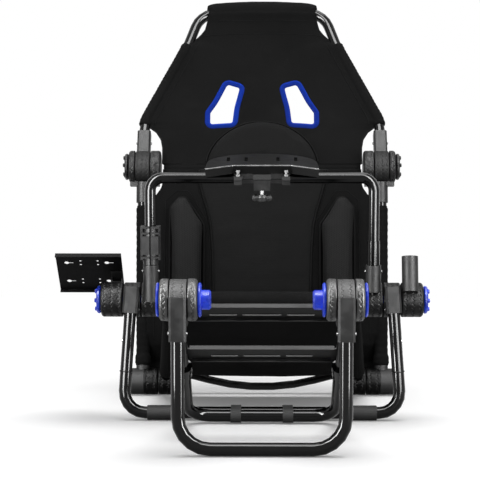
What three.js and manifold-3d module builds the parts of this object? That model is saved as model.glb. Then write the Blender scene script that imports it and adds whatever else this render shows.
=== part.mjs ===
// A folding racing seat: a sling seat on a zigzag of steel tubes that fold at round hubs. The same frame
// carries a steering wheel deck, a pedal frame, a shifter plate and a spare shifter socket.
//
// Millimetres, +Z up. The pedals face -Y and the backrest leans back towards +Y. Places below are given as
// y, measured back from the front hubs' axis, and z, measured up from the floor. The right side is +X.

import * as THREE from 'three';
import { mergeVertices } from 'three/addons/utils/BufferGeometryUtils.js';
import Module from 'manifold-3d';

const wasm = await Module();
wasm.setup();

// ---------------------------------------------------------------- driving dimensions

const tubeRadius = 12.5;
const tubeSides = 12;
const hubSides = 18;
const gap = 0.5; // between pieces that touch
const socketRadius = 15.5;
const socketBore = tubeRadius + gap;

// The axes that the frame folds about, all along X.
const frontHub = { y: 0, z: 279, radius: 37.5 };
const pedalBar = { y: 330, z: 15.6 };
const middleBar = { y: 370, z: 15.6 };
const middleHub = { y: 420, z: 245, radius: 35 };
const lowHub = { y: 743, z: 30, radius: 30 };
const upperHub = { y: 822, z: 525, radius: 37 };

// Where the collars sit on the middle hub's stud, from the inside out.
const stack = {
  seat: [172, 206],
  mast: [208.5, 250],
  leg: [252.5, 287],
  shifter: [289.5, 335],
  knob: [336.5, 344],
};
const middleStudRadius = 8;
const hubStudRadius = 7;
const rimChamfer = 6; // on the free ends of every hub's barrel

// Widths between the tubes of each hoop, as the distance of one tube from the middle.
const frontLegX = 151;
const middleLegX = { top: 270, foot: 286 };
const mastX = 229.5;
const seatRailX = { front: 189, rear: 222 };
const backRailX = { low: 275, top: 279 };

const mastLean = THREE.MathUtils.degToRad(4);
const recline = THREE.MathUtils.degToRad(27);
const deckTilt = THREE.MathUtils.degToRad(10.5);
const shifterTilt = THREE.MathUtils.degToRad(43);

// How far apart the hubs are along each folding section, and how steep the section stands.
const section = (from, to) => ({
  length: Math.hypot(to.y - from.y, to.z - from.z),
  slope: Math.atan2(to.z - from.z, to.y - from.y),
});
const pedalSection = section(pedalBar, frontHub);
const seatSection = section(middleHub, lowHub);
const lowerBackSection = section(lowHub, upperHub);

// The middle of the whole cockpit's footprint, which is its origin.
const footprintMiddle = { x: -41, y: 493.4 };

// ---------------------------------------------------------------- materials

const paint = (color, roughness, metalness) => (
  new THREE.MeshStandardMaterial({ color, roughness, metalness })
);
const glossTube = paint(0x17181a, 0.22, 0.6);
const socketPlastic = paint(0x4a4b4d, 0.5, 0);
const hubPlastic = paint(0x38393b, 0.6, 0);
const bluePlastic = paint(0x0b3fd6, 0.35, 0);
const sheetSteel = paint(0x232426, 0.4, 0.7);
const zinc = paint(0xb9bcc0, 0.3, 0.9);
const rubber = paint(0x1b1b1c, 0.85, 0);
const slingFabric = paint(0x1d1d1f, 0.9, 0);
const meshFabric = paint(0x2a2a2d, 0.95, 0);
const blueTrim = paint(0x1440c0, 0.7, 0);

// ---------------------------------------------------------------- shapes

const at = (x, y, z) => new THREE.Vector3(x, y, z);

// One closed skin with its faces pointing out: shared corners merged, empty triangles dropped.
function closed(geometry) {
  const bare = geometry.clone();
  const extras = Object.keys(bare.attributes).filter((name) => name !== 'position');
  extras.forEach((name) => bare.deleteAttribute(name));
  const merged = mergeVertices(bare, 1e-3);
  const place = merged.attributes.position;
  const corner = (i) => at().fromBufferAttribute(place, i);
  const triangles = [];
  let volume = 0;
  for (let i = 0; i < merged.index.count; i += 3) {
    const [a, b, c] = [0, 1, 2].map((k) => merged.index.getX(i + k));
    if (a === b || b === c || c === a) continue;
    triangles.push([a, b, c]);
    volume += corner(a).dot(corner(b).cross(corner(c)));
  }
  merged.setIndex(triangles.flatMap(([a, b, c]) => (volume < 0 ? [a, c, b] : [a, b, c])));
  return merged;
}

function solid(geometry) {
  const skin = closed(geometry);
  const vertProperties = new Float32Array(skin.attributes.position.array);
  const triVerts = new Uint32Array(skin.index.array);
  return new wasm.Manifold(new wasm.Mesh({ numProp: 3, vertProperties, triVerts }));
}

function geometryOf(manifold) {
  const mesh = manifold.getMesh();
  const geometry = new THREE.BufferGeometry();
  geometry.setAttribute('position', new THREE.BufferAttribute(mesh.vertProperties, 3));
  geometry.setIndex(new THREE.BufferAttribute(mesh.triVerts, 1));
  return geometry;
}

const join = (...pieces) => geometryOf(pieces.map(solid).reduce((whole, piece) => whole.add(piece)));
const cut = (body, ...tools) => (
  geometryOf(tools.map(solid).reduce((left, tool) => left.subtract(tool), solid(body)))
);
const common = (a, b) => geometryOf(solid(a).intersect(solid(b)));
const mirrored = (geometry) => closed(geometry.clone().scale(-1, 1, 1));

// A turned piece between two points. The profile's points are [radius, distance from the first point].
function turned(profile, from, to, sides) {
  const points = profile.map(([radius, along]) => new THREE.Vector2(radius, along));
  const geometry = new THREE.LatheGeometry(points, sides);
  const direction = to.clone().sub(from).normalize();
  geometry.applyQuaternion(new THREE.Quaternion().setFromUnitVectors(at(0, 1, 0), direction));
  return geometry.translate(from.x, from.y, from.z);
}

function rod(from, to, radius, sides = tubeSides) {
  const length = from.distanceTo(to);
  return turned([[0, 0], [radius, 0], [radius, length], [0, length]], from, to, sides);
}

// A disc about the hub axis (y = z = 0) between two places along X, with a chamfered rim at both ends.
function disc(x0, x1, radius, chamfer = 1.5, otherChamfer = chamfer) {
  const width = x1 - x0;
  const profile = [[0, 0], [radius - chamfer, 0], [radius, chamfer], [radius, width - otherChamfer],
    [radius - otherChamfer, width], [0, width]];
  return turned(profile, at(x0, 0, 0), at(x1, 0, 0), hubSides);
}

const rodX = (x0, x1, radius, sides = tubeSides) => rod(at(x0, 0, 0), at(x1, 0, 0), radius, sides);

function sleeve(from, to, outer, inner, sides = tubeSides) {
  const length = from.distanceTo(to);
  const profile = [[inner, 0], [outer, 0], [outer, length], [inner, length], [inner, 0]];
  return turned(profile, from, to, sides);
}

function block(x0, x1, y0, y1, z0, z1) {
  const geometry = new THREE.BoxGeometry(x1 - x0, y1 - y0, z1 - z0);
  return geometry.translate((x0 + x1) / 2, (y0 + y1) / 2, (z0 + z1) / 2);
}

// A tube's route: straight runs joined by bends, with a station only at each end and along each bend.
class Route extends THREE.Curve {
  constructor(corners, bendRadii, degreesPerStep = 18) {
    super();
    this.step = THREE.MathUtils.degToRad(degreesPerStep);
    const last = corners.length - 1;
    const heading = (i) => corners[i + 1].clone().sub(corners[i]).normalize();
    this.stations = [{ point: corners[0], tangent: heading(0) }];
    for (let i = 1; i < last; i += 1) {
      this.bend(corners[i], heading(i - 1), heading(i), bendRadii[i - 1] ?? bendRadii[0]);
    }
    this.stations.push({ point: corners[last], tangent: heading(last - 1) });
  }

  bend(corner, before, after, radius) {
    const turn = before.angleTo(after);
    const start = corner.clone().addScaledVector(before, -radius * Math.tan(turn / 2));
    const inward = after.clone().addScaledVector(before, -before.dot(after)).normalize();
    const steps = Math.max(1, Math.round(turn / this.step));
    for (let k = 0; k <= steps; k += 1) {
      const angle = (turn * k) / steps;
      const point = start.clone().addScaledVector(before, radius * Math.sin(angle));
      point.addScaledVector(inward, radius * (1 - Math.cos(angle)));
      const tangent = before.clone().multiplyScalar(Math.cos(angle)).addScaledVector(inward, Math.sin(angle));
      this.stations.push({ point, tangent });
    }
  }

  nearest(u) {
    return this.stations[Math.round(u * (this.stations.length - 1))];
  }

  getPointAt(u) {
    return this.nearest(u).point.clone();
  }

  getTangentAt(u, target = at()) {
    return target.copy(this.nearest(u).tangent);
  }

  getSpacedPoints() {
    return this.stations.map((station) => station.point.clone());
  }
}

function tubeAlong(route, radius = tubeRadius, sides = tubeSides) {
  const corner = (k) => {
    const angle = (2 * Math.PI * k) / sides;
    return new THREE.Vector2(radius * Math.cos(angle), radius * Math.sin(angle));
  };
  const ring = new THREE.Shape(Array.from({ length: sides }, (_, k) => corner(k)));
  return new THREE.ExtrudeGeometry(ring, { steps: route.stations.length - 1, extrudePath: route });
}

const outline = (points) => new THREE.Shape(points.map(([x, y]) => new THREE.Vector2(x, y)));
const bothSides = (half) => [...half, ...half.filter(([x]) => x > 0).map(([x, y]) => [-x, y]).reverse()];

// A flat piece whose outline lies in X and Z, standing across Y.
function upright(shape, y0, y1) {
  const options = { depth: y1 - y0, bevelEnabled: false, curveSegments: 6 };
  return new THREE.ExtrudeGeometry(shape, options).rotateX(Math.PI / 2).translate(0, y1, 0);
}

// A flat piece whose outline lies in X and Y, lying across Z.
function lying(shape, z0, z1) {
  const options = { depth: z1 - z0, bevelEnabled: false, curveSegments: 6 };
  return new THREE.ExtrudeGeometry(shape, options).translate(0, 0, z0);
}

// A square bar with chamfered edges between two points. Two of its faces look along X.
function post(from, to, half, chamfer = 4) {
  const edge = half - chamfer;
  const firstHalf = [[half, -edge], [half, edge], [edge, half], [-edge, half]];
  const otherHalf = firstHalf.map(([x, y]) => [-x, -y]);
  const square = outline([...firstHalf, ...otherHalf]);
  const length = from.distanceTo(to);
  const axis = to.clone().sub(from).normalize();
  const across = at(1, 0, 0).addScaledVector(axis, -axis.x).normalize();
  const bar = new THREE.ExtrudeGeometry(square, { depth: length, bevelEnabled: false });
  const stand = new THREE.Matrix4().makeBasis(across, axis.clone().cross(across), axis);
  return bar.applyMatrix4(stand).translate(from.x, from.y, from.z);
}

// An outline whose corners are rounded by the same radius, each in a few steps.
function rounded(points, radius, steps = 3) {
  const corners = points.map(([x, y]) => new THREE.Vector2(x, y));
  const path = corners.flatMap((corner, i) => {
    const before = corners[(i + corners.length - 1) % corners.length].clone().sub(corner);
    const after = corners[(i + 1) % corners.length].clone().sub(corner);
    const half = Math.acos(before.dot(after) / before.length() / after.length()) / 2;
    const reach = Math.min(radius / Math.tan(half), before.length() / 2.01, after.length() / 2.01);
    const enter = corner.clone().add(before.setLength(reach));
    const leave = corner.clone().add(after.setLength(reach));
    return new THREE.QuadraticBezierCurve(enter, corner, leave).getPoints(steps);
  });
  return new THREE.Shape(path);
}

const circle = (x, y, radius, sides = 8) => new THREE.Shape(Array.from({ length: sides }, (_, k) => {
  const angle = (2 * Math.PI * (k + 0.5)) / sides;
  return new THREE.Vector2(x + radius * Math.cos(angle), y + radius * Math.sin(angle));
}));

// Cloth of one thickness, over a grid of s (0 to 1 along it) and t (-1 to 1 across it).
function cloth(middle, face, thickness, alongSteps, acrossSteps) {
  const geometry = new THREE.BufferGeometry();
  const positions = [];
  const index = [];
  const columns = acrossSteps + 1;
  const layer = columns * (alongSteps + 1);
  for (const side of [-0.5, 0.5]) {
    for (let i = 0; i <= alongSteps; i += 1) {
      for (let j = 0; j <= acrossSteps; j += 1) {
        const point = middle(i / alongSteps, (2 * j) / acrossSteps - 1);
        positions.push(...point.addScaledVector(face, side * thickness).toArray());
      }
    }
  }
  const quad = (a, b, c, d) => index.push(a, b, c, a, c, d);
  for (let i = 0; i < alongSteps; i += 1) {
    for (let j = 0; j < acrossSteps; j += 1) {
      const a = i * columns + j;
      quad(a, a + 1, a + columns + 1, a + columns);
      quad(layer + a, layer + a + columns, layer + a + columns + 1, layer + a + 1);
    }
  }
  const rim = (a, b) => quad(a, layer + a, layer + b, b);
  const end = alongSteps * columns;
  for (let j = 0; j < acrossSteps; j += 1) {
    rim(j, j + 1);
    rim(end + j + 1, end + j);
  }
  for (let i = 0; i < alongSteps; i += 1) {
    rim((i + 1) * columns, i * columns);
    rim(i * columns + acrossSteps, (i + 1) * columns + acrossSteps);
  }
  geometry.setAttribute('position', new THREE.Float32BufferAttribute(positions, 3));
  geometry.setIndex(index);
  return geometry;
}

// ---------------------------------------------------------------- the scene graph

const cockpit = new THREE.Group();
cockpit.position.set(-footprintMiddle.x, -footprintMiddle.y, 0);

// A section's own frame: its origin is the hub, and it is turned about the hub's axis.
function frameAt(hub, turn) {
  const frame = new THREE.Group();
  frame.position.set(0, hub.y, hub.z);
  frame.rotation.x = turn;
  cockpit.add(frame);
  return frame;
}

function add(frame, name, geometry, material) {
  const mesh = new THREE.Mesh(closed(geometry), material);
  mesh.name = name;
  frame.add(mesh);
}

function addPair(frame, name, rightGeometry, material) {
  add(frame, `${name}_right`, rightGeometry, material);
  add(frame, `${name}_left`, mirrored(rightGeometry), material);
}

// ---------------------------------------------------------------- hub pieces

// A collar turns on the hub's stud. Its socket, round or square, runs along a line beside or through the
// axis, and the tube goes into it from the far end as deep as the seat.
function collar([x0, x1], radius, studRadius, socket) {
  const { from, to, seat, outer = socketRadius, bore = socketBore, shape = rod, rim = 1.5 } = socket;
  const body = join(disc(x0, x1, radius, 1.5, rim), shape(from, to, outer));
  const beyond = to.clone().lerp(from, -1);
  return cut(body, rod(seat, beyond, bore), rodX(x0 - 1, x1 + 1, studRadius + gap));
}

// A fork holds a collar between two cheeks. Its arm leaves along +Y and has the socket of the next tube.
function fork(centre, radius, collarHalf, cheekEnds, arm) {
  const [inner, outer] = cheekEnds;
  const halfSpace = collarHalf + 1.5;
  const innerCheek = disc(inner, centre - halfSpace, radius, rimChamfer, 1.5);
  const outerCheek = disc(centre + halfSpace, outer, radius, 1.5, rimChamfer);
  const bridge = block(inner + 3, outer - 3, radius - 8, radius + 9, -9.5, 9.5);
  const socket = rod(at(centre, radius, 0), at(centre, arm.end, 0), arm.outer);
  const body = join(innerCheek, outerCheek, bridge, socket);
  const collarSpace = rodX(centre - halfSpace, centre + halfSpace, radius + 0.8, hubSides);
  const seat = rod(at(centre, arm.seat, 0), at(centre, arm.end + 1, 0), arm.bore);
  return cut(body, collarSpace, seat, rodX(inner - 1, outer + 1, hubStudRadius + gap));
}

// A star knob: a blue disc with grip bumps on its face, and the stud that clamps the collars together.
function starKnob([x0, x1], radius, studRadius, studEnd) {
  const bumpCircle = 0.72 * radius;
  const bump = (k) => {
    const angle = (2 * Math.PI * k) / 6;
    const [y, z] = [bumpCircle * Math.cos(angle), bumpCircle * Math.sin(angle)];
    return turned([[0, 0], [5, 0], [4, 4.5], [0, 4.5]], at(x1 - 0.5, y, z), at(x1 + 4, y, z), 4);
  };
  const bumps = Array.from({ length: 6 }, (_, k) => bump(k));
  return join(disc(x0, x1, radius, 2), rodX(studEnd, x0 + 1, studRadius), ...bumps);
}

// ---------------------------------------------------------------- front leg

const frontLeg = frameAt(frontHub, 0);
const frontSocketY = -32;
const floorBelowFrontHub = tubeRadius - frontHub.z;

function frontLegHoop() {
  const topZ = -9;
  const route = new Route([
    at(-frontLegX, frontSocketY, topZ),
    at(-frontLegX, frontSocketY, floorBelowFrontHub),
    at(frontLegX, frontSocketY, floorBelowFrontHub),
    at(frontLegX, frontSocketY, topZ),
  ], [58]);
  return tubeAlong(route);
}

function frontLegCollar() {
  const socket = {
    from: at(frontLegX, frontSocketY, 7),
    to: at(frontLegX, frontSocketY, -72),
    seat: at(frontLegX, frontSocketY, -8.6),
    shape: post,
  };
  return collar([frontLegX - 16, frontLegX + 16], frontHub.radius - 1, hubStudRadius, socket);
}

add(frontLeg, 'front_leg_hoop', frontLegHoop(), glossTube);
addPair(frontLeg, 'front_leg_collar', frontLegCollar(), socketPlastic);

// ---------------------------------------------------------------- pedal frame

// In this frame the rails run along -Y from the pedal bar up to the front hubs.
const pedals = frameAt(pedalBar, pedalSection.slope - Math.PI);
const railRadius = 10;
const railBore = railRadius + gap;
const hoopTop = -192;

function pedalHoop() {
  const route = new Route([
    at(-frontLegX, hoopTop, 0),
    at(-frontLegX, 0, 0),
    at(frontLegX, 0, 0),
    at(frontLegX, hoopTop, 0),
  ], [45]);
  const collars = [-frontLegX, frontLegX].flatMap((x) => [
    rod(at(x, hoopTop - 1, 0), at(x, hoopTop + 14, 0), 16.5),
    rod(at(x, hoopTop + 10, 0), at(x, hoopTop + 34, 0), 14.6),
  ]);
  const bores = [-frontLegX, frontLegX].map((x) => rod(at(x, hoopTop - 2, 0), at(x, -50, 0), railBore));
  return cut(join(tubeAlong(route), ...collars), ...bores);
}

function pedalRail() {
  return rod(at(frontLegX, 46.5 - pedalSection.length, 0), at(frontLegX, -54, 0), railRadius);
}

function pedalFork() {
  const arm = { end: 78, seat: 46, outer: 14.5, bore: railBore };
  const ends = [frontLegX - 35, frontLegX + 34];
  return fork(frontLegX, frontHub.radius, 16, ends, arm).translate(0, -pedalSection.length, 0);
}

// A folded plate on top of the rails: a slotted face with a flange along both long edges. It is wider past
// the shoulder, where its ears rest against the rails.
function pedalPlate(near, shoulder, far, nearHalf, farHalf) {
  const [thickness, flangeDepth, slotInset] = [2.5, 8.5, 14];
  const top = railRadius + gap;
  const face = outline(bothSides([[0, near], [nearHalf, near], [nearHalf, shoulder], [farHalf, shoulder],
    [farHalf, far], [0, far]]));
  const slotY = far - slotInset;
  for (const [x0, x1] of [[-98, -46], [-36, 36], [46, 98]]) {
    face.holes.push(rounded([[x0, slotY - 3], [x1, slotY - 3], [x1, slotY + 3], [x0, slotY + 3]], 3, 2));
  }
  const flange = (y0, half) => {
    const bottom = top + thickness - flangeDepth;
    return block(-half, half, y0, y0 + thickness, bottom, bottom + flangeDepth - 0.5);
  };
  return join(lying(face, top, top + thickness), flange(near, nearHalf), flange(far - thickness, 134));
}

// The front knob: a round plug to grip, a disc against the fork's cheek, and the stud through the hub.
function frontKnob() {
  const [plugX, discX, cheekX] = [92, 109.5, 115.5];
  const plug = turned([[0, 0], [15, 0], [18, 3], [18, 18], [0, 18]], at(plugX, 0, 0), at(discX, 0, 0), 12);
  const face = disc(discX, cheekX, frontHub.radius - rimChamfer, 2);
  const stud = rodX(cheekX - 1, frontLegX + 34, hubStudRadius);
  return join(plug, face, stud).translate(0, -pedalSection.length, 0);
}

function frontCap() {
  const cap = disc(frontLegX + 34.6, frontLegX + 40, frontHub.radius - rimChamfer, 2);
  return cap.translate(0, -pedalSection.length, 0);
}

add(pedals, 'pedal_hoop', pedalHoop(), glossTube);
addPair(pedals, 'pedal_rail', pedalRail(), glossTube);
addPair(pedals, 'front_hub_fork', pedalFork(), hubPlastic);
add(pedals, 'pedal_plate_upper', pedalPlate(-390.3, -381, -343.5, 105, 140), sheetSteel);
add(pedals, 'pedal_plate_lower', pedalPlate(-246.6, -238.6, -200.5, 138, 150), sheetSteel);
addPair(pedals, 'front_hub_knob', frontKnob(), bluePlastic);
addPair(pedals, 'front_hub_cap', frontCap(), bluePlastic);

// ---------------------------------------------------------------- middle frame

const middle = frameAt(middleHub, 0);
const legTop = at(middleLegX.top, -30, 17);
const legFoot = at(middleLegX.foot, middleBar.y - middleHub.y, middleBar.z - middleHub.z);
const alongLeg = (share) => legTop.clone().lerp(legFoot, share);
const buttonShare = 0.4;

function middleLegHoop() {
  const mirrorOf = (point) => at(-point.x, point.y, point.z);
  const route = new Route([mirrorOf(legTop), mirrorOf(legFoot), legFoot, legTop], [42]);
  const pocket = (side) => {
    const middlePoint = alongLeg(buttonShare);
    const from = at(side * (middlePoint.x + 1), middlePoint.y, middlePoint.z);
    return rod(from, from.clone().add(at(side * 20, 0, 0)), 3 + gap);
  };
  return cut(tubeAlong(route), pocket(1), pocket(-1));
}

function middleLegCollar() {
  const socket = { from: alongLeg(-0.05), to: alongLeg(0.17), seat: alongLeg(-0.002), shape: post };
  return collar(stack.leg, middleHub.radius, middleStudRadius, socket);
}

function snapButton() {
  const root = alongLeg(buttonShare);
  const profile = [[0, 0], [3, 0], [3, 8.4], [2, 10.4], [0, 11]];
  return turned(profile, at(root.x + 4.5, root.y, root.z), at(root.x + 16, root.y, root.z), 8);
}

function footPad() {
  return sleeve(at(170, legFoot.y, legFoot.z), at(236, legFoot.y, legFoot.z), 15.6, socketBore);
}

// A saddle clip over the two floor bars. It is open below, so that it snaps over both.
function railClip() {
  const pedalY = pedalBar.y - middleHub.y;
  const [x0, x1] = [42.5, 63.5];
  const barZ = legFoot.z;
  const saddle = [pedalY, legFoot.y].map((y) => rod(at(x0, y, barZ), at(x1, y, barZ), 16.4));
  const web = block(x0, x1, pedalY, legFoot.y, barZ - 4, barZ + 16.4);
  const bores = [pedalY, legFoot.y].map((y) => rod(at(x0 - 1, y, barZ), at(x1 + 1, y, barZ), socketBore));
  const mouths = [pedalY, legFoot.y].map((y) => block(x0 - 1, x1 + 1, y - 10, y + 10, barZ - 20, barZ - 8));
  return cut(join(...saddle, web), ...bores, ...mouths);
}

function middleKnob() {
  return starKnob(stack.knob, middleHub.radius - rimChamfer, middleStudRadius, stack.seat[0] + 6);
}

add(middle, 'middle_leg_hoop', middleLegHoop(), glossTube);
addPair(middle, 'middle_leg_collar', middleLegCollar(), socketPlastic);
addPair(middle, 'foot_pad', footPad(), rubber);
addPair(middle, 'floor_bar_clip', railClip(), rubber);
addPair(middle, 'snap_button', snapButton(), zinc);
addPair(middle, 'middle_hub_knob', middleKnob(), bluePlastic);

// ---------------------------------------------------------------- wheel mast

const mast = frameAt(middleHub, mastLean);
const mastY = -30;
const mastTube = { radius: 13, bore: 12, leftFoot: 10, rightFoot: 30, top: 127 };
const wheelTubeRadius = 11.5;
const crossbarZ = 257;

function mastCollar(foot) {
  const socket = {
    from: at(mastX, mastY, foot - 8),
    to: at(mastX, mastY, 77),
    seat: at(mastX, mastY, foot - gap),
    bore: mastTube.radius + gap,
    outer: 16,
  };
  return collar(stack.mast, middleHub.radius, middleStudRadius, socket);
}

function mastSleeve(foot) {
  const { radius, bore, top } = mastTube;
  return sleeve(at(mastX, mastY, foot), at(mastX, mastY, top), radius, bore);
}

function wheelHoop() {
  const route = new Route([
    at(-mastX, mastY, 36),
    at(-mastX, mastY, crossbarZ),
    at(mastX, mastY, crossbarZ),
    at(mastX, mastY, 36),
  ], [26]);
  return tubeAlong(route, wheelTubeRadius);
}

// The clamp on the left mast tube: a split block between two pairs of ribs.
function mastClamp() {
  const x = -mastX;
  const [low, high] = [78.5, 158];
  const body = block(x - 17, x + 17, mastY - 17, mastY + 17, 100, 138);
  const neck = rod(at(x, mastY, low), at(x, mastY, high), 15.6);
  const rib = (middleX) => block(middleX - 2.5, middleX + 2.5, mastY - 9, mastY + 9, 88, high);
  const ribs = [rib(x - 18), rib(x + 18)];
  const band = (z) => block(x - 19, x + 19, mastY - 18.5, mastY + 12, z, z + 4);
  const split = block(x - 1.5, x + 1.5, mastY - 30, mastY, low - 1, high + 1);
  const bore = rod(at(x, mastY, low - 1), at(x, mastY, high + 1), mastTube.radius + gap);
  return cut(join(body, neck, ...ribs, band(92), band(142), band(154)), bore, split);
}

add(mast, 'mast_collar_left', mirrored(mastCollar(mastTube.leftFoot)), hubPlastic);
add(mast, 'mast_collar_right', mastCollar(mastTube.rightFoot), hubPlastic);
add(mast, 'mast_tube_left', mirrored(mastSleeve(mastTube.leftFoot)), glossTube);
add(mast, 'mast_tube_right', mastSleeve(mastTube.rightFoot), glossTube);
add(mast, 'mast_clamp', mastClamp(), socketPlastic);
add(mast, 'wheel_hoop', wheelHoop(), glossTube);

// ---------------------------------------------------------------- wheel deck

// In this frame the origin is the crossbar's middle and the deck's plate lies across Z.
const deck = new THREE.Group();
deck.position.set(0, mastY, crossbarZ);
deck.rotation.x = deckTilt - mastLean;
mast.add(deck);
const deckZ = 27;

// A D-shaped plate: round towards the driver, with a recess in front where the clamp's bolts stand. A
// flange is folded down along the front, and slots take the bolts of a wheel base.
function deckPlate() {
  const [halfWidth, thickness, flangeDepth] = [113, 3, 15];
  const [recessY, hornY, arcY] = [-19, -60, 8];
  const plate = new THREE.Shape();
  plate.moveTo(-60, recessY);
  plate.lineTo(60, recessY);
  plate.lineTo(halfWidth + 2, hornY);
  plate.lineTo(halfWidth, arcY);
  plate.absarc(0, arcY, halfWidth, 0, Math.PI, false);
  plate.lineTo(-halfWidth - 2, hornY);
  plate.closePath();
  for (const x of [-70, -33, 33, 70]) {
    plate.holes.push(rounded([[x - 3.5, 28], [x + 3.5, 28], [x + 3.5, 74], [x - 3.5, 74]], 3.5));
  }
  const face = new THREE.ExtrudeGeometry(plate, { depth: thickness, bevelEnabled: false, curveSegments: 10 });
  const fold = (x0, y0, x1, y1) => {
    const strip = outline([[x0, y0], [x1, y1], [x1, y1 + thickness], [x0, y0 + thickness]]);
    return lying(strip, deckZ - flangeDepth, deckZ + 1);
  };
  const folds = [fold(-60.5, recessY, 60.5, recessY), fold(59, recessY, halfWidth + 1, hornY + 1),
    fold(-halfWidth - 1, hornY + 1, -59, recessY)];
  return join(face.translate(0, 0, deckZ), ...folds);
}

// The saddle: the clamp's upper half, which carries the plate, with a bolt on each ear in front.
function deckSaddle() {
  const [halfX, rear, front] = [57, 15.5, -33];
  const body = block(-halfX, halfX, -14.5, rear, 0.5, deckZ - gap);
  const ears = [-49, 49].map((x) => block(x - 8, x + 8, front, -12, 0.5, 8));
  const nose = block(-18, 18, -24, -12, 0.5, deckZ - 16);
  const hollows = [-33, 33].map((x) => rod(at(x, -40, -12), at(x, 40, -12), 12));
  const bar = rodX(-halfX - 1, halfX + 1, wheelTubeRadius + gap);
  const bolts = [-49, 49].map((x) => deckBolt(x));
  return cut(join(body, ...ears, nose, ...bolts), bar, ...hollows);
}

// The jaw: the clamp's lower half, with the bolts that pull it up and the boss of the wing knob.
function deckJaw() {
  const [halfX, rear, front] = [57, 15.5, -33];
  const body = block(-halfX, halfX, -14.5, rear, -9, -0.5);
  const ears = [-49, 49].map((x) => block(x - 8, x + 8, front, -12, -9, -0.5));
  const boss = block(-17, 17, -26, rear, -22, -0.5);
  const bar = rodX(-halfX - 1, halfX + 1, wheelTubeRadius + gap);
  const bore = rod(at(0, -4, -23), at(0, -4, -15), 5 + gap);
  return cut(join(body, ...ears, boss), bar, bore);
}

function deckBolt(x) {
  const nut = [[0, 0], [5.5, 0], [5.5, 5], [3, 5], [3, 9], [5, 9], [5, 14], [0, 14]];
  return turned(nut, at(x, -25, 7), at(x, -25, 30), 8);
}

function deckKnob() {
  const [y, wingZ] = [-4, -41];
  const stem = rod(at(0, y, -16), at(0, y, -36), 5, 10);
  const hub = turned([[0, 0], [9, 0], [11, 5], [9, 13], [0, 14]], at(0, y, -34), at(0, y, -50), 12);
  const wing = (side) => turned([[0, 0], [6.5, 0], [7.5, 8], [4, 12], [0, 12.5]], at(side * 8, y, wingZ),
    at(side * 24, y, wingZ), 8);
  return join(stem, hub, wing(1), wing(-1));
}

add(deck, 'deck_plate', deckPlate(), sheetSteel);
add(deck, 'deck_saddle', deckSaddle(), socketPlastic);
add(deck, 'deck_jaw', deckJaw(), socketPlastic);
add(deck, 'deck_knob', deckKnob(), rubber);

// ---------------------------------------------------------------- shifter arms

const shifter = frameAt(middleHub, 0);
const shifterX = 306;
const tiltPin = { y: 32, z: 33.5, radius: 4 };

// The spare socket stands before its collar; the one in use stands behind its collar.
function spareCollar() {
  const socket = {
    from: at(shifterX, -33, 20),
    to: at(shifterX, -20, 92),
    seat: at(shifterX, -33.2, 19),
    outer: 17,
    rim: rimChamfer,
  };
  return collar(stack.shifter, middleHub.radius, middleStudRadius, socket);
}

function shifterCollar() {
  const { y } = tiltPin;
  const socket = {
    from: at(shifterX, y, -14),
    to: at(shifterX, y, 16),
    seat: at(shifterX, y, -4),
    outer: 16,
    rim: rimChamfer,
  };
  return collar(stack.shifter, middleHub.radius, middleStudRadius, socket);
}

// The post ends in a flat eye for the pin that the plate tilts about.
function shifterPost() {
  const { y, z, radius } = tiltPin;
  const post = rod(at(shifterX, y, -3.5), at(shifterX, y, 20), tubeRadius);
  const eye = rod(at(shifterX - 8.9, y, z), at(shifterX + 8.9, y, z), 7.8);
  const neck = block(shifterX - 8.9, shifterX + 8.9, y - 7.6, y + 7.6, 18, z);
  return cut(join(post, eye, neck), rod(at(shifterX - 9, y, z), at(shifterX + 9, y, z), radius + gap));
}

// In this frame the origin is the pin, and the plate lies across Z with its face towards the driver.
const shifterHead = new THREE.Group();
shifterHead.position.set(0, tiltPin.y, tiltPin.z);
shifterHead.rotation.x = -shifterTilt;
shifter.add(shifterHead);

function shifterBracket() {
  const base = block(shifterX - 12.4, shifterX + 12.4, -24, 12, 8.4, 10.9);
  const ear = (x) => join(block(x - 1.5, x + 1.5, -8, 8, 0, 9), rod(at(x - 1.5, 0, 0), at(x + 1.5, 0, 0), 8));
  const pin = rodX(shifterX - 11, shifterX + 11, tiltPin.radius);
  return join(base, ear(shifterX - 10.9), ear(shifterX + 10.9), pin);
}

// A keyhole's outline: a slot that opens into a wider end.
function keyhole(x, y) {
  const lower = [[x - 9, y - 2], [x, y - 2], [x + 3, y - 5], [x + 7, y - 5], [x + 10, y - 2]];
  const upper = [[x + 10, y + 2], [x + 7, y + 5], [x + 3, y + 5], [x, y + 2], [x - 9, y + 2]];
  return outline([...lower, ...upper]);
}

// The plate: four keyholes near its corners, pairs of round holes between them, and a lip along both edges.
function shifterPlate() {
  const [x0, x1, y0, y1] = [293, 430, -79, 39];
  const [z0, z1, lipDepth] = [11.4, 13.9, 9.5];
  const [midX, midY] = [(x0 + x1) / 2, (y0 + y1) / 2];
  const holes = [];
  for (const y of [midY - 30, midY + 30]) {
    for (const side of [-1, 1]) {
      const x = midX + side * 18;
      holes.push(circle(x, y - 6, 2.9), circle(x, y + 6, 2.9), keyhole(midX + side * 42, y));
    }
  }
  const lip = (y) => block(x0, x1, y, y + 2.5, z1 - lipDepth, z1 - 0.5);
  const body = join(block(x0, x1, y0, y1, z0, z1), lip(y0), lip(y1 - 2.5));
  return cut(body, ...holes.map((hole) => lying(hole, z0 - 1, z1 + 1)));
}

add(shifter, 'shifter_collar_left', mirrored(shifterCollar()), hubPlastic);
add(shifter, 'shifter_post', mirrored(shifterPost()), glossTube);
add(shifter, 'shifter_collar_right', spareCollar(), hubPlastic);
add(shifterHead, 'shifter_bracket', mirrored(shifterBracket()), sheetSteel);
add(shifterHead, 'shifter_plate', mirrored(shifterPlate()), sheetSteel);

// ---------------------------------------------------------------- seat

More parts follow.
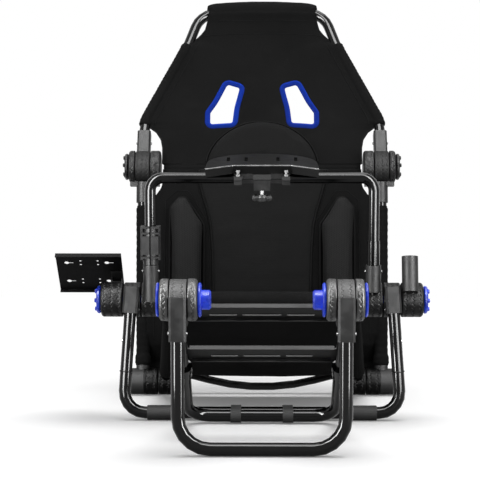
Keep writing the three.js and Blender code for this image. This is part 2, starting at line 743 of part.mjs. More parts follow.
// In this frame the rails run along +Y from the middle hubs down to the low hubs.
const seat = frameAt(middleHub, seatSection.slope);
const onSeatRail = (y) => {
  const share = y / seatSection.length;
  return at(THREE.MathUtils.lerp(seatRailX.front, seatRailX.rear, share), y, 0);
};
const hemRadius = 15.3;
const clothThickness = 5;

function seatFrontBar() {
  const [x0, x1] = stack.seat;
  const end = cut(
    join(disc(x0, x1, middleHub.radius), rod(onSeatRail(20), onSeatRail(72), socketRadius)),
    rod(onSeatRail(46), onSeatRail(74), socketBore),
    rodX(x0 + 5, x1 + 1, middleStudRadius + gap),
  );
  return join(end, mirrored(end), rodX(-x0 - 1, x0 + 1, tubeRadius));
}

// The rail ends in a ring, with the stub axle that the back turns on.
function seatRail() {
  const { length } = seatSection;
  const ring = disc(207, 238, lowHub.radius).translate(0, length, 0);
  const axle = rodX(237, 298, 8).translate(0, length, 0);
  return join(rod(onSeatRail(46.5), onSeatRail(length - 10), tubeRadius), ring, axle);
}

// A sling that hangs between the rails, wrapped round the front bar and hemmed round both rails.
function seatCover() {
  const [start, end, sag] = [66, seatSection.length - 43, 30];
  const across = (s, t) => {
    const rail = onSeatRail(THREE.MathUtils.lerp(8, end, s));
    const hang = Math.sin(Math.PI * Math.min(1, 0.12 + 0.8 * s)) * (1 - t * t);
    return at(rail.x * t, rail.y, 12 * (1 - s) ** 4 - sag * hang * Math.min(1, 3 * s));
  };
  const sling = cloth(across, at(0, 0, 1), clothThickness, 10, 10);
  const wrap = rodX(-167, 167, 17.5);
  const hem = rod(onSeatRail(start + 10), onSeatRail(end), hemRadius);
  const railSpace = rod(onSeatRail(-20), onSeatRail(end + 30), socketBore);
  const socketSpace = rod(onSeatRail(10), onSeatRail(start + 9), socketRadius + 1);
  const ringSpace = rodX(168, 240, middleHub.radius + 1, hubSides);
  const spaces = [railSpace, socketSpace, ringSpace];
  const barSpace = rodX(-180, 180, socketBore);
  return cut(join(sling, wrap, hem, mirrored(hem)), barSpace, ...spaces, ...spaces.map(mirrored));
}

// The rear bar joins the low rings and bows down between them.
function seatRearBar() {
  const [endX, kneeX] = [206.4, 160];
  const route = new Route([
    at(-endX, 4, 15),
    at(-kneeX, 4, 13),
    at(0, 4, -29),
    at(kneeX, 4, 13),
    at(endX, 4, 15),
  ], [60, 480, 60], 6);
  return tubeAlong(route, 9, 10);
}

add(seat, 'seat_front_bar', seatFrontBar(), hubPlastic);
addPair(seat, 'seat_rail', seatRail(), glossTube);
add(seat, 'seat_cover', seatCover(), slingFabric);
add(frameAt(lowHub, 0), 'seat_rear_bar', seatRearBar(), glossTube);

// ---------------------------------------------------------------- lower back

// In this frame the rails run along +Z from the low hubs up to the upper hubs, and the driver is at -Y.
const lowerBack = frameAt(lowHub, lowerBackSection.slope - Math.PI / 2);
const backLength = lowerBackSection.length;
const onBackRail = (z) => at(THREE.MathUtils.lerp(backRailX.low, backRailX.top, z / (backLength - 66)), 0, z);
const hinge = 6; // how far both covers stop from the upper hub's axis

function backRail() {
  const collarRing = disc(240, 303, lowHub.radius);
  const socket = rod(onBackRail(12), onBackRail(50), socketRadius);
  const rail = rod(onBackRail(45), onBackRail(backLength - 48.5), tubeRadius);
  return cut(join(collarRing, socket, rail), rodX(239, 300, 8 + gap));
}

function upperFork() {
  const arm = { end: 85, seat: 48, outer: socketRadius, bore: socketBore };
  const body = fork(backRailX.top, upperHub.radius, 17, [237, 312], arm);
  return body.rotateX(-Math.PI / 2).translate(0, 0, backLength);
}

// The back's sling between its rails. Its foot passes behind the low hubs, deepest at both sides.
function lowerBackCover() {
  const [foot, hemTop] = [84, 408];
  const face = outline(bothSides([[0, foot], [backRailX.low, foot], [backRailX.top - 1, hemTop], [266, 420],
    [247, 436], [236, 452], [233, 466], [233, backLength - hinge], [0, backLength - hinge]]));
  const panel = outline(bothSides([[0, foot + 10], [112, foot + 10], [112.5, 218], [118.6, 361], [133, 418],
    [145, 461], [147, backLength - hinge], [0, backLength - hinge]]));
  const skirt = (x0, x1, bottom) => {
    const profile = outline([[-2.5, foot + 2], [-2.5, foot - 3], [31, 46], [31, bottom], [36, bottom],
      [36, 48], [2.5, foot], [2.5, foot + 2]]);
    const strip = new THREE.ExtrudeGeometry(profile, { depth: x1 - x0, bevelEnabled: false });
    const acrossX = new THREE.Matrix4().makeBasis(at(0, 1, 0), at(0, 0, 1), at(1, 0, 0));
    return strip.applyMatrix4(acrossX).translate(x0, 0, 0);
  };
  const hem = rod(onBackRail(foot), onBackRail(hemTop), hemRadius);
  const railSpace = rod(onBackRail(-5), onBackRail(backLength), socketBore);
  const ringSpace = rodX(200, 300, lowHub.radius + 0.8, hubSides);
  const cloths = [upright(face, -2.5, 2.5), upright(panel, -8, -2), hem, mirrored(hem), skirt(-286, 286, 21),
    skirt(-286, -200, -22.4), skirt(200, 286, -22.4)];
  const forkFoot = at(backRailX.top, 0, backLength - 86);
  const forkSpace = rod(forkFoot, at(backRailX.top, 0, backLength), socketRadius + 0.8);
  const spaces = [railSpace, ringSpace, forkSpace];
  return cut(join(...cloths), ...spaces, ...spaces.map(mirrored));
}

// A side bolster: a long cushion, crowned in front, whose inner top corner is cut off at a slant.
function bolster() {
  const seam = 14;
  const [x0, x1, z0, z1] = [132 + seam, 219 - seam, 96 + seam, 433 - seam];
  const edge = rounded([[x0, z0], [x1, z0], [x1, 400], [196, z1], [176, z1], [x0, 366]], 10);
  const options = { depth: 16, bevelThickness: 24, bevelSize: seam, bevelSegments: 4, curveSegments: 3 };
  const cushion = new THREE.ExtrudeGeometry(edge, options).rotateX(Math.PI / 2).translate(0, -3 - gap, 0);
  return cut(cushion, block(100, 250, -2.5 - gap, 60, 50, 460));
}

function upperKnob() {
  const knob = starKnob([313.5, 321], upperHub.radius - rimChamfer, hubStudRadius, 240);
  return knob.translate(0, 0, backLength);
}

add(lowerBack, 'lower_back_cover', lowerBackCover(), slingFabric);
addPair(lowerBack, 'back_rail', backRail(), glossTube);
addPair(lowerBack, 'upper_hub_fork', upperFork(), hubPlastic);
addPair(lowerBack, 'side_bolster', bolster(), meshFabric);
addPair(lowerBack, 'upper_hub_knob', upperKnob(), hubPlastic);

// ---------------------------------------------------------------- upper back

// In this frame the backrest rises along +Z from the upper hubs, and the driver is at -Y.
const upperBack = frameAt(upperHub, -recline);
const topBarZ = 427;
const hoopRoute = new Route([
  at(-backRailX.top, 0, 38),
  at(-backRailX.top, 0, 117),
  at(-184, 0, 322),
  at(-150, 0, topBarZ),
  at(150, 0, topBarZ),
  at(184, 0, 322),
  at(backRailX.top, 0, 117),
  at(backRailX.top, 0, 38),
], [90, 300, 60, 60, 300, 90], 15);
const shoulderHole = [[86, 236], [43, 222], [63, 106], [133, 102], [135, 144]];

function upperCollar() {
  const x = backRailX.top;
  const socket = { from: at(x, 0, 20), to: at(x, 0, 90), seat: at(x, 0, 37), shape: post };
  return collar([262, 296], upperHub.radius - 1, hubStudRadius, socket);
}

// Points moved inwards from the edges of a convex outline that runs clockwise or anticlockwise.
function inset(points, distance) {
  const corners = points.map(([x, y]) => new THREE.Vector2(x, y));
  const count = corners.length;
  return corners.map((corner, i) => {
    const before = corner.clone().sub(corners[(i + count - 1) % count]).normalize();
    const after = corners[(i + 1) % count].clone().sub(corner).normalize();
    const reach = distance / before.cross(after);
    return corner.clone().addScaledVector(after, reach).addScaledVector(before, -reach).toArray();
  });
}

// The headrest and shoulder cloth: hemmed round the hoop, wrapped over its top bar, and open at the hubs
// and at both upper corners. A padded panel rises in front of its foot.
function upperBackCover() {
  const hubCorner = [[0, hinge], [233, hinge], [234, 50], [238, 72], [250, 92], [264, 103], [278, 107]];
  const headCorner = [[273, 132], [180, 327], [165, 338], [147, 354], [135, 380], [130, 400]];
  const face = outline(bothSides([...hubCorner, ...headCorner, [130, topBarZ], [0, topBarZ]]));
  for (const side of [-1, 1]) {
    face.holes.push(rounded(inset(shoulderHole, -gap).map(([x, y]) => [side * x, y]), 14));
  }
  const dome = new THREE.Shape();
  dome.moveTo(-132, hinge);
  dome.lineTo(132, hinge);
  dome.bezierCurveTo(126, 70, 66, 120, 0, 120);
  dome.bezierCurveTo(-66, 120, -126, 70, -132, hinge);
  const region = join(block(-300, 300, -20, 20, 107, 331), block(-130, 130, -20, 20, 405, 460));
  const hems = common(tubeAlong(hoopRoute, hemRadius), region);
  return cut(join(upright(face, -2.5, 2.5), upright(dome, -8, -2), hems), tubeAlong(hoopRoute, socketBore));
}

function holeRim() {
  const ring = rounded(shoulderHole, 14);
  ring.holes.push(rounded(inset(shoulderHole, 10.5), 6));
  return upright(ring, -4, 4);
}

add(upperBack, 'backrest_hoop', tubeAlong(hoopRoute), glossTube);
addPair(upperBack, 'upper_collar', upperCollar(), hubPlastic);
add(upperBack, 'upper_back_cover', upperBackCover(), slingFabric);
addPair(upperBack, 'hole_rim', holeRim(), blueTrim);

export default cockpit;
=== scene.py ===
# %% [markdown]
# # A folding racing seat, finished in Blender
#
# The steel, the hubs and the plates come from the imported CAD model, which gives every part its place and
# its size. This file adds what the CAD leaves plain: cloth that hangs between the tubes, padding that is
# really stuffed, tread on the hubs, bolts, seams and the finish of each surface. Everything is in metres
# where Blender reads it, and in millimetres where a maker would measure it.

# %% Load the frame
import math

import bmesh
import bpy
import numpy as np
from mathutils import Matrix, Vector, noise


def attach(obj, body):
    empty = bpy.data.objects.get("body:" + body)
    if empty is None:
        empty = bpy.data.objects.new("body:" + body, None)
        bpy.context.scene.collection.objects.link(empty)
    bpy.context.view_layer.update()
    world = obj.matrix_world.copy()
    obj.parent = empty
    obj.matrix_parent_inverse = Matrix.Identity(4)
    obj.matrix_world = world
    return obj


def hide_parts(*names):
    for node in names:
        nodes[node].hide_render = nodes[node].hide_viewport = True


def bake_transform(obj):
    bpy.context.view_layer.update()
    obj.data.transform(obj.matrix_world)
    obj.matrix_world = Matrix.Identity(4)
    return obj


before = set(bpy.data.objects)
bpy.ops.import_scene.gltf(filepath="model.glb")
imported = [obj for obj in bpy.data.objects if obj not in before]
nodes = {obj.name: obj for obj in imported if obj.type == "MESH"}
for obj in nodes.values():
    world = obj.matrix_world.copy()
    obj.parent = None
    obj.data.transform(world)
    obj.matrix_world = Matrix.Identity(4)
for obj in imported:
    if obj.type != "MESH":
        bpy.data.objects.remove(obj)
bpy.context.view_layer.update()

# %% [markdown]
# ## Camera
#
# A product photograph on white is taken with a long lens from a few metres off, so that tubes stay nearly
# parallel. The lens and the height below follow from how much the tubes shrink from front to back.

# %% Camera
ROW_SHIFT = Vector((0.041, -0.4934, 0.0))
LENS, SENSOR, PICTURE_SIDE = 112.5, 36.0, 480.0
AIM_LEFT, AIM_DOWN = 22.0, 62.5
EYE = Vector((0.0, -2.705, 0.5)) + ROW_SHIFT
focal = LENS / SENSOR * PICTURE_SIDE
AIM = Vector((-AIM_LEFT, focal, -AIM_DOWN)) / focal

camera = bpy.data.objects.new("camera", bpy.data.cameras.new("camera"))
camera.data.lens, camera.data.sensor_width = LENS, SENSOR
camera.location = EYE
camera.rotation_mode = "QUATERNION"
camera.rotation_quaternion = AIM.to_track_quat("-Z", "Y")
bpy.context.scene.collection.objects.link(camera)
bpy.context.scene.camera = camera
bpy.context.scene.view_settings.view_transform = "Standard"
print("camera stands", round(-EYE.y, 2), "m in front of the middle of the footprint")

# %% [markdown]
# ## Materials as sums
#
# A procedural material is arithmetic on places. Blender draws that arithmetic as a web of Math nodes, which
# is hard to read back. The small class here wraps one socket, so that an ordinary Python sum adds the
# nodes, and the second class collects them into one finish.


# %% Sums on sockets
class Signal:
    """One output of a shader node, or the start of a sum on it."""

    def __init__(self, finish, socket):
        self.finish, self.socket = finish, socket

    def math(self, operation, *others):
        return self.finish.sum_of(operation, self, *others)

    def __add__(self, other):
        return self.math("ADD", other)

    __radd__ = __add__

    def __sub__(self, other):
        return self.math("SUBTRACT", other)

    def __rsub__(self, other):
        return self.finish.sum_of("SUBTRACT", other, self)

    def __mul__(self, other):
        return self.math("MULTIPLY", other)

    __rmul__ = __mul__

    def below(self, other):
        return self.math("LESS_THAN", other)

    def above(self, other):
        return self.math("GREATER_THAN", other)

    def size(self):
        return self.math("ABSOLUTE")

    def wave(self):
        return self.math("SINE")

    def ramp(self, low, high):
        """0 at low, 1 at high, smooth between."""
        settings = {"interpolation_type": "SMOOTHSTEP"}
        return self.finish.node("MapRange", settings, {0: self, 1: low, 2: high, 3: 0.0, 4: 1.0})


class Finish:
    """One material in the making."""

    def __init__(self, name):
        self.material = bpy.data.materials.new(name)
        self.material.use_nodes = True
        self.tree = self.material.node_tree
        self.tree.nodes.clear()
        self.shader = self.tree.nodes.new("ShaderNodeBsdfPrincipled")
        self.place = self.node("TexCoord", output="Object")

    def feed(self, socket, value):
        if isinstance(value, Signal):
            self.tree.links.new(value.socket, socket)
        elif socket.type == "RGBA":
            socket.default_value = (*value, 1.0)
        else:
            socket.default_value = value

    def node(self, kind, settings=None, inputs=None, output=0):
        made = self.tree.nodes.new("ShaderNode" + kind)
        for key, value in (settings or {}).items():
            setattr(made, key, value)
        for key, value in (inputs or {}).items():
            self.feed(made.inputs[key], value)
        return Signal(self, made.outputs[output])

    def sum_of(self, operation, *terms):
        return self.node("Math", {"operation": operation}, dict(enumerate(terms)))

    def mix(self, first, second, share):
        return self.node("Mix", {"data_type": "RGBA"}, {0: share, 6: first, 7: second}, 2)

    def grain(self, scale, detail=2.0, stretch=None):
        """Noise, with about that many cells to the metre. stretch squeezes the cells along each axis."""
        where = self.place
        if stretch:
            where = self.node("VectorMath", {"operation": "MULTIPLY"}, {0: where, 1: stretch})
        return self.node("TexNoise", None, {"Vector": where, "Scale": scale, "Detail": detail})

    def mottle(self, scale, detail=4.0):
        """Soft blotches: noise whose middle is stretched over the whole range."""
        return self.grain(scale, detail).ramp(0.3, 0.7)

    def pebbles(self, scale):
        """The grain of a mould: 0 in the middle of each cell, more towards its edge."""
        return self.node("TexVoronoi", None, {"Vector": self.place, "Scale": scale}, "Distance")

    def off_axis(self, one, other):
        """How far a point lies from the axis where both are 0."""
        return self.sum_of("SQRT", one * one + other * other)

    def local(self, place):
        """Where a point is in a section's own frame, in millimetres."""
        moved = self.node("VectorMath", {"operation": "SUBTRACT"}, {0: self.place, 1: place.translation})
        axes = [place.col[i].xyz.normalized() * 1000.0 for i in range(3)]
        dot = {"operation": "DOT_PRODUCT"}
        return [self.node("VectorMath", dot, {0: moved, 1: axis}, "Value") for axis in axes]

    def bump(self, height, depth, under=None):
        """A dent of that depth in metres where height is 1. under is a bump that it lies on."""
        inputs = {"Height": height, "Distance": depth, "Strength": 1.0}
        if under:
            inputs["Normal"] = under
        return self.node("Bump", None, inputs)

    def done(self, **values):
        for key, value in values.items():
            self.feed(self.shader.inputs[key.replace("_", " ")], value)
        out = self.tree.nodes.new("ShaderNodeOutputMaterial")
        self.tree.links.new(self.shader.outputs[0], out.inputs[0])
        return self.material


def shade(red, green, blue):
    """A colour as a screen shows it, 0 to 255, in the linear numbers that light adds up in."""
    channels = [c / 255.0 for c in (red, green, blue)]
    return tuple(c / 12.92 if c <= 0.04045 else ((c + 0.055) / 1.055) ** 2.4 for c in channels)


def grey(level):
    return shade(level, level, level)


# %% [markdown]
# ## Light and floor
#
# The world and the floor look white to the camera and in reflections, but they light the seat more softly
# than that, so black cloth stays black. One broad lamp above gives the soft shadow on the floor. The streaks
# along the painted tubes come from big pale panels that show in gloss alone.


# %% White world, soft lamps and the floor
def shown_rays(tree):
    """1 for a ray that the picture shows, straight or mirrored, and 0 for a ray that only carries light."""
    rays = tree.nodes.new("ShaderNodeLightPath")
    shown = rays.outputs["Is Camera Ray"]
    for name in ("Is Glossy Ray", "Is Transmission Ray"):
        larger = tree.nodes.new("ShaderNodeMath")
        larger.operation = "MAXIMUM"
        tree.links.new(shown, larger.inputs[0])
        tree.links.new(rays.outputs[name], larger.inputs[1])
        shown = larger.outputs[0]
    return shown


ROOM_LIGHT, WHITE = 0.46, 1.0
world = bpy.data.worlds.new("studio")
world.use_nodes = True
bpy.context.scene.world = world
sky = world.node_tree
sky.nodes.clear()
strength = sky.nodes.new("ShaderNodeMapRange")
strength.inputs["To Min"].default_value = ROOM_LIGHT
strength.inputs["To Max"].default_value = WHITE
sky.links.new(shown_rays(sky), strength.inputs["Value"])
backdrop = sky.nodes.new("ShaderNodeBackground")
backdrop.inputs["Color"].default_value = (1, 1, 1, 1)
sky.links.new(strength.outputs[0], backdrop.inputs["Strength"])
sky.links.new(backdrop.outputs[0], sky.nodes.new("ShaderNodeOutputWorld").inputs[0])


def lamp(name, kind, energy, at, towards, **settings):
    made = bpy.data.objects.new(name, bpy.data.lights.new(name, kind))
    made.data.energy = energy
    for key, value in settings.items():
        setattr(made.data, key, value)
    made.location = at
    made.rotation_mode = "QUATERNION"
    made.rotation_quaternion = (Vector(towards) - Vector(at)).to_track_quat("-Z", "Y")
    bpy.context.scene.collection.objects.link(made)
    return made


SEAT_MIDDLE = Vector((0.0, 0.0, 0.4))


def softbox(name, brightness, azimuth, elevation, distance, width, height):
    """A pale panel of that width and height, for gloss alone. A brightness of 1 is white."""
    turn, rise = math.radians(azimuth), math.radians(elevation)
    away = Vector((math.sin(turn) * math.cos(rise), -math.cos(turn) * math.cos(rise), math.sin(rise)))
    watts = brightness * math.pi * width * height
    made = lamp(name, "AREA", watts, SEAT_MIDDLE + away * distance, SEAT_MIDDLE, shape="RECTANGLE",
                size=width, size_y=height)
    made.visible_diffuse = made.visible_camera = False


lamp("overhead", "SUN", 1.9, (0.2, 0.4, 3.0), SEAT_MIDDLE, angle=math.radians(38))
softbox("left_softbox", 52.0, -45, 20, 1.63, 0.5, 1.9)
softbox("right_softbox", 44.0, 46, 20, 1.63, 0.46, 1.9)
softbox("left_low_softbox", 50.0, -34.6, -7.3, 1.1, 0.16, 0.5)
softbox("right_low_softbox", 44.0, 34.6, -7.3, 1.1, 0.14, 0.5)
softbox("top_softbox", 25.0, 0, 66, 3.4, 3.0, 0.9)

FLOOR_HALF, FLOOR_UNSEEN, FLOOR_SHOWN, FLOOR_GLOW = 3.0, 0.55, 0.96, 0.09
floor_mesh = bpy.data.meshes.new("floor")
floor_corners = [(x * FLOOR_HALF, y * FLOOR_HALF, 0) for x, y in ((-1, -1), (1, -1), (1, 1), (-1, 1))]
floor_mesh.from_pydata(floor_corners, [], [(0, 1, 2, 3)])
floor = bpy.data.objects.new("floor", floor_mesh)
bpy.context.scene.collection.objects.link(floor)
floor_finish = Finish("white floor")
shown = Signal(floor_finish, shown_rays(floor_finish.tree))
floor_grey = floor_finish.mix((FLOOR_UNSEEN,) * 3, (FLOOR_SHOWN,) * 3, shown)
glow = floor_finish.mix((0.0,) * 3, (FLOOR_GLOW,) * 3, shown)
floor_mesh.materials.append(floor_finish.done(Base_Color=floor_grey, Roughness=1.0, Specular_IOR_Level=0.0,
                                              Emission_Color=glow, Emission_Strength=1.0))
print("lamps and floor are in place")

# %% [markdown]
# ## The folding sections
#
# The frame folds about five axes that all run from side to side. A seat maker draws each section flat, with
# its hub as the origin, and so does this file: every cloth below is written in the flat frame of its own
# section, and one matrix stands it up.

# %% Section frames, in millimetres
LOW_HUB, MIDDLE_HUB, UPPER_HUB, FRONT_HUB = (743, 30), (420, 245), (822, 525), (0, 279)
DECK_HUB = (372.15, 499.28)


def section(hub, degrees):
    """Takes millimetres in a section, whose hub is the origin, to metres in the row."""
    y, z = hub
    moved = Matrix.Translation(Vector((0, y, z)) / 1000 + ROW_SHIFT)
    return moved @ Matrix.Rotation(math.radians(degrees), 4, "X") @ Matrix.Diagonal((0.001, 0.001, 0.001, 1))


def steepness(start, end):
    return math.degrees(math.atan2(end[1] - start[1], end[0] - start[0]))


RECLINE, DECK_TILT, MAST_LEAN = 27.0, 10.5, 4.0
flat_section = {name: section(hub, 0) for name, hub in (
    ("front", FRONT_HUB), ("middle", MIDDLE_HUB), ("low", LOW_HUB), ("upper", UPPER_HUB))}
seat_section = section(MIDDLE_HUB, steepness(MIDDLE_HUB, LOW_HUB))
lower_section = section(LOW_HUB, steepness(LOW_HUB, UPPER_HUB) - 90)
upper_section = section(UPPER_HUB, -RECLINE)
deck_section = section(DECK_HUB, DECK_TILT)
FLOOR_PLAN = section((0, 0), 0)
SEAT_LENGTH = math.dist(MIDDLE_HUB, LOW_HUB)
BACK_LENGTH = math.dist(LOW_HUB, UPPER_HUB)
print("seat section", round(SEAT_LENGTH), "mm, back section", round(BACK_LENGTH), "mm")

# %% [markdown]
# ## Finishes
#
# The tubes are sprayed gloss black over steel, which leaves the faint ripple called orange peel. The hubs
# and sockets are moulded in glass-filled nylon: matt, mottled and finely grained. The plates are powder
# coated. Each finish below is one short sum on top of that idea.


# %% Paint, plastic, steel and rubber
def gloss_paint():
    f = Finish("gloss black paint")
    peel = f.grain(420.0, 1.0)
    scuffs = f.grain(26.0, 5.0, (1.0, 1.0, 0.25)).ramp(0.45, 0.75)
    tint = f.mix(grey(5), grey(13), scuffs)
    return f.done(Base_Color=tint, Roughness=0.1 + 0.09 * scuffs, Normal=f.bump(peel, 0.00003),
                  Specular_IOR_Level=0.19)


def moulded(name, dark, light, roughness, pitch=900.0, depth=0.00008, shine=0.18):
    """Grained plastic, mottled between two greys or blues."""
    f = Finish(name)
    mottle, grain = f.mottle(55.0), f.pebbles(pitch)
    tint = f.mix(dark, light, mottle * 0.75 + grain * 0.25)
    rough = roughness + 0.12 * (mottle - 0.5)
    return f.done(Base_Color=tint, Roughness=rough, Normal=f.bump(grain, depth), Specular_IOR_Level=shine)


def powder_coat(name, shine):
    f = Finish(name)
    grit = f.grain(1500.0, 2.0)
    wear = f.grain(30.0, 4.0).ramp(0.5, 0.8)
    tint = f.mix(grey(12), grey(26), wear * 0.6 + grit * 0.4)
    return f.done(Base_Color=tint, Roughness=0.46 + 0.14 * wear, Normal=f.bump(grit, 0.00005),
                  Specular_IOR_Level=shine)


def plated(name, dark, light):
    f = Finish(name)
    brushed = f.grain(700.0, 3.0, (1.0, 4.0, 0.4))
    tint = f.mix(grey(dark), grey(light), brushed)
    return f.done(Base_Color=tint, Roughness=0.24 + 0.2 * brushed, Metallic=1.0,
                  Normal=f.bump(brushed, 0.00002))


def rubber():
    f = Finish("black rubber")
    pores = f.grain(1200.0, 3.0)
    bloom = f.grain(22.0, 4.0).ramp(0.4, 0.8)
    tint = f.mix(grey(14), grey(30), bloom)
    return f.done(Base_Color=tint, Roughness=0.7 + 0.15 * bloom, Normal=f.bump(pores, 0.0001),
                  Specular_IOR_Level=0.14)


gloss = gloss_paint()
hub_nylon = moulded("hub nylon", grey(26), grey(48), 0.5)
cap_nylon = moulded("cap nylon", grey(20), grey(34), 0.4)
socket_nylon = moulded("socket nylon", grey(38), grey(54), 0.42, 1500.0, 0.00004)
blue_nylon = moulded("blue nylon", shade(6, 46, 214), shade(14, 80, 255), 0.28, 1500.0, 0.00003, 0.35)
plate_coat, deck_coat = powder_coat("plate powder coat", 0.14), powder_coat("deck powder coat", 0.03)
zinc, bolt_steel = plated("bright zinc", 120, 190), plated("blackened bolts", 40, 85)
black_rubber = rubber()
print("finishes so far:", len(bpy.data.materials))

# %% [markdown]
# ## Cloth finishes
#
# The sling is a heavy plain-weave polyester: two sets of threads that pass over and under each other. In a
# sum that is the product of two waves, one along each set. The bolsters are covered in spacer mesh, whose
# holes sit on a honeycomb, which is the sum of three waves at 60 degrees to each other.


# %% Weaves
def woven(name, place, dark, light, pitch=1.7, depth=0.00022, ribs=0.0, axes=(0, 2)):
    """Plain weave over a section's own plane. pitch is the distance between threads in millimetres."""
    f = Finish(name)
    across, along = (f.local(place)[i] for i in axes)
    turn = 2 * math.pi / pitch
    slub = f.grain(140.0, 3.0)
    warp = (across * turn + slub * 2.0).wave()
    weft = (along * turn + slub * 2.0).wave()
    threads = (warp * weft) * 0.5 + 0.5
    rib = (along * (turn * 0.33)).wave() * 0.5 + 0.5
    height = threads * (1.0 - ribs) + rib * ribs
    cloudy = f.grain(9.0, 4.0).ramp(0.3, 0.75)
    tint = f.mix(dark, light, height * 0.55 + cloudy * 0.3 + slub * 0.15)
    creases = f.grain(16.0, 3.0, (1.0, 1.0, 2.2))
    under = f.bump(creases, 0.0012)
    return f.done(Base_Color=tint, Roughness=0.82 + 0.12 * cloudy, Normal=f.bump(height, depth, under),
                  Specular_IOR_Level=0.03)


def honeycomb(name, place, dark, light, pitch=4.4):
    """Spacer mesh: round holes on a honeycomb, painted near black: the darker layer below, deepened by
    painted shade in the holes.
    """
    f = Finish(name)
    across, _, along = f.local(place)
    turn = 4 * math.pi / (math.sqrt(3) * pitch)
    waves = [across * (turn * math.cos(a)) + along * (turn * math.sin(a))
             for a in (0.0, math.radians(60), math.radians(120))]
    first, second, third = (f.sum_of("COSINE", wave) for wave in waves)
    holes = (first + second + third).ramp(0.4, 1.5)
    cloudy = f.mottle(12.0, 3.0)
    knit = f.grain(900.0, 2.0)
    # The holes take the dark grey: partly the layer below, partly painted shade in the holes.
    tint = f.mix(f.mix(light, dark, holes), grey(20), cloudy * 0.25)
    height = 1.0 - holes + knit * 0.2
    return f.done(Base_Color=tint, Roughness=0.8 + 0.12 * holes, Normal=f.bump(height, 0.0005),
                  Specular_IOR_Level=0.06)


CLOTH_DARK, CLOTH_LIGHT = grey(8), grey(27)
seat_cloth = woven("seat sling cloth", seat_section, CLOTH_DARK, CLOTH_LIGHT, axes=(0, 1))
lower_cloth = woven("lower back cloth", lower_section, CLOTH_DARK, CLOTH_LIGHT)
upper_cloth = woven("upper back cloth", upper_section, CLOTH_DARK, CLOTH_LIGHT)
panel_cloth = woven("centre panel cloth", lower_section, grey(26), grey(48), pitch=2.2, ribs=0.12)
dome_cloth = woven("neck pad cloth", upper_section, grey(18), grey(40), pitch=2.2, ribs=0.12)
mesh_cloth = honeycomb("bolster mesh", lower_section, grey(2), grey(35))
binding_blue = woven("blue binding tape", upper_section, shade(8, 36, 156), shade(26, 84, 232), pitch=1.3)
piping_cord = woven("piping", lower_section, grey(14), grey(48), pitch=1.2)
print("cloths:", [m.name for m in bpy.data.materials if "cloth" in m.name])

# %% [markdown]
# ## Dressing the CAD parts
#
# The shapes of these parts are right already, so they stay as they are. Two things are added to each: a
# finish, and smooth shading. The tubes are drawn with twelve flat sides, so a small geometry-nodes group
# joins the split corners and smooths every edge that bends less than about 35 degrees.


# %% Smooth shading for the CAD parts
def smoother(angle):
    tree = bpy.data.node_groups.new("smooth the round parts", "GeometryNodeTree")
    tree.interface.new_socket("Geometry", in_out="INPUT", socket_type="NodeSocketGeometry")
    tree.interface.new_socket("Geometry", in_out="OUTPUT", socket_type="NodeSocketGeometry")
    new, link = tree.nodes.new, tree.links.new
    start, end = new("NodeGroupInput"), new("NodeGroupOutput")
    merge = new("GeometryNodeMergeByDistance")
    merge.inputs["Distance"].default_value = 0.00001
    faces, edges = new("GeometryNodeSetShadeSmooth"), new("GeometryNodeSetShadeSmooth")
    faces.domain, edges.domain = "FACE", "EDGE"
    bend = new("GeometryNodeInputMeshEdgeAngle")
    flat = new("FunctionNodeCompare")
    flat.operation = "LESS_THAN"
    flat.inputs["B"].default_value = angle
    link(start.outputs[0], merge.inputs["Geometry"])
    link(merge.outputs["Geometry"], faces.inputs["Geometry"])
    link(faces.outputs["Geometry"], edges.inputs["Geometry"])
    link(bend.outputs["Unsigned Angle"], flat.inputs["A"])
    link(flat.outputs["Result"], edges.inputs["Shade Smooth"])
    link(edges.outputs["Geometry"], end.inputs[0])
    return tree


SMOOTH_BELOW = math.radians(34)
smooth_group = smoother(SMOOTH_BELOW)
for node in nodes.values():
    for name in ("custom_normal", "sharp_edge", "sharp_face"):
        if name in node.data.attributes:
            node.data.attributes.remove(node.data.attributes[name])
    node.modifiers.new("smooth", "NODES").node_group = smooth_group
print("smoothed", len(nodes), "CAD parts")


# %% Finishes that change along one part
def tube_with_ring(name, ring_radius):
    """A painted tube that ends in a nylon ring on the low hub: the finish changes with the distance from
    the hub's axis."""
    f = Finish(name)
    _, back, up = f.local(flat_section["low"])
    ring = f.off_axis(back, up).below(ring_radius)
    nylon = f.mix(grey(14), grey(26), f.mottle(55.0))
    return f.done(Base_Color=f.mix(grey(9), nylon, ring), Roughness=0.14 + 0.44 * ring,
                  Normal=f.bump(f.pebbles(900.0) * ring, 0.00008), Specular_IOR_Level=0.19)


def nylon_and_metal(f, metal, dark, light, steel, roughness, shine):
    """Nylon between two greys, and plated steel where metal is 1."""
    grain = f.grain(900.0, 2.0)
    tint = f.mix(f.mix(grey(dark), grey(light), grain), grey(steel), metal)
    return f.done(Base_Color=tint, Metallic=metal, Roughness=roughness - 0.12 * metal,
                  Normal=f.bump(grain, 0.00004), Specular_IOR_Level=shine)


BOLT_OUT, BOLT_BACK, BOLT_REACH, SADDLE_TOP = 49.0, 25.0, 6.2, 8.3
STUD_END = -33.6


def saddle_with_bolts(name):
    """The deck's saddle is nylon, and the two bolts that stand on it are zinc plated."""
    f = Finish(name)
    across, back, up = f.local(deck_section)
    beside = f.off_axis(across.size() - BOLT_OUT, back + BOLT_BACK)
    metal = beside.below(BOLT_REACH) * up.above(SADDLE_TOP)
    return nylon_and_metal(f, metal, 26, 42, 50, 0.5, 0.2)


def wing_knob_finish(name):
    """A zinc-plated stud that carries a moulded wing head."""
    f = Finish(name)
    _, _, up = f.local(deck_section)
    return nylon_and_metal(f, up.above(STUD_END), 22, 44, 70, 0.46, 0.3)


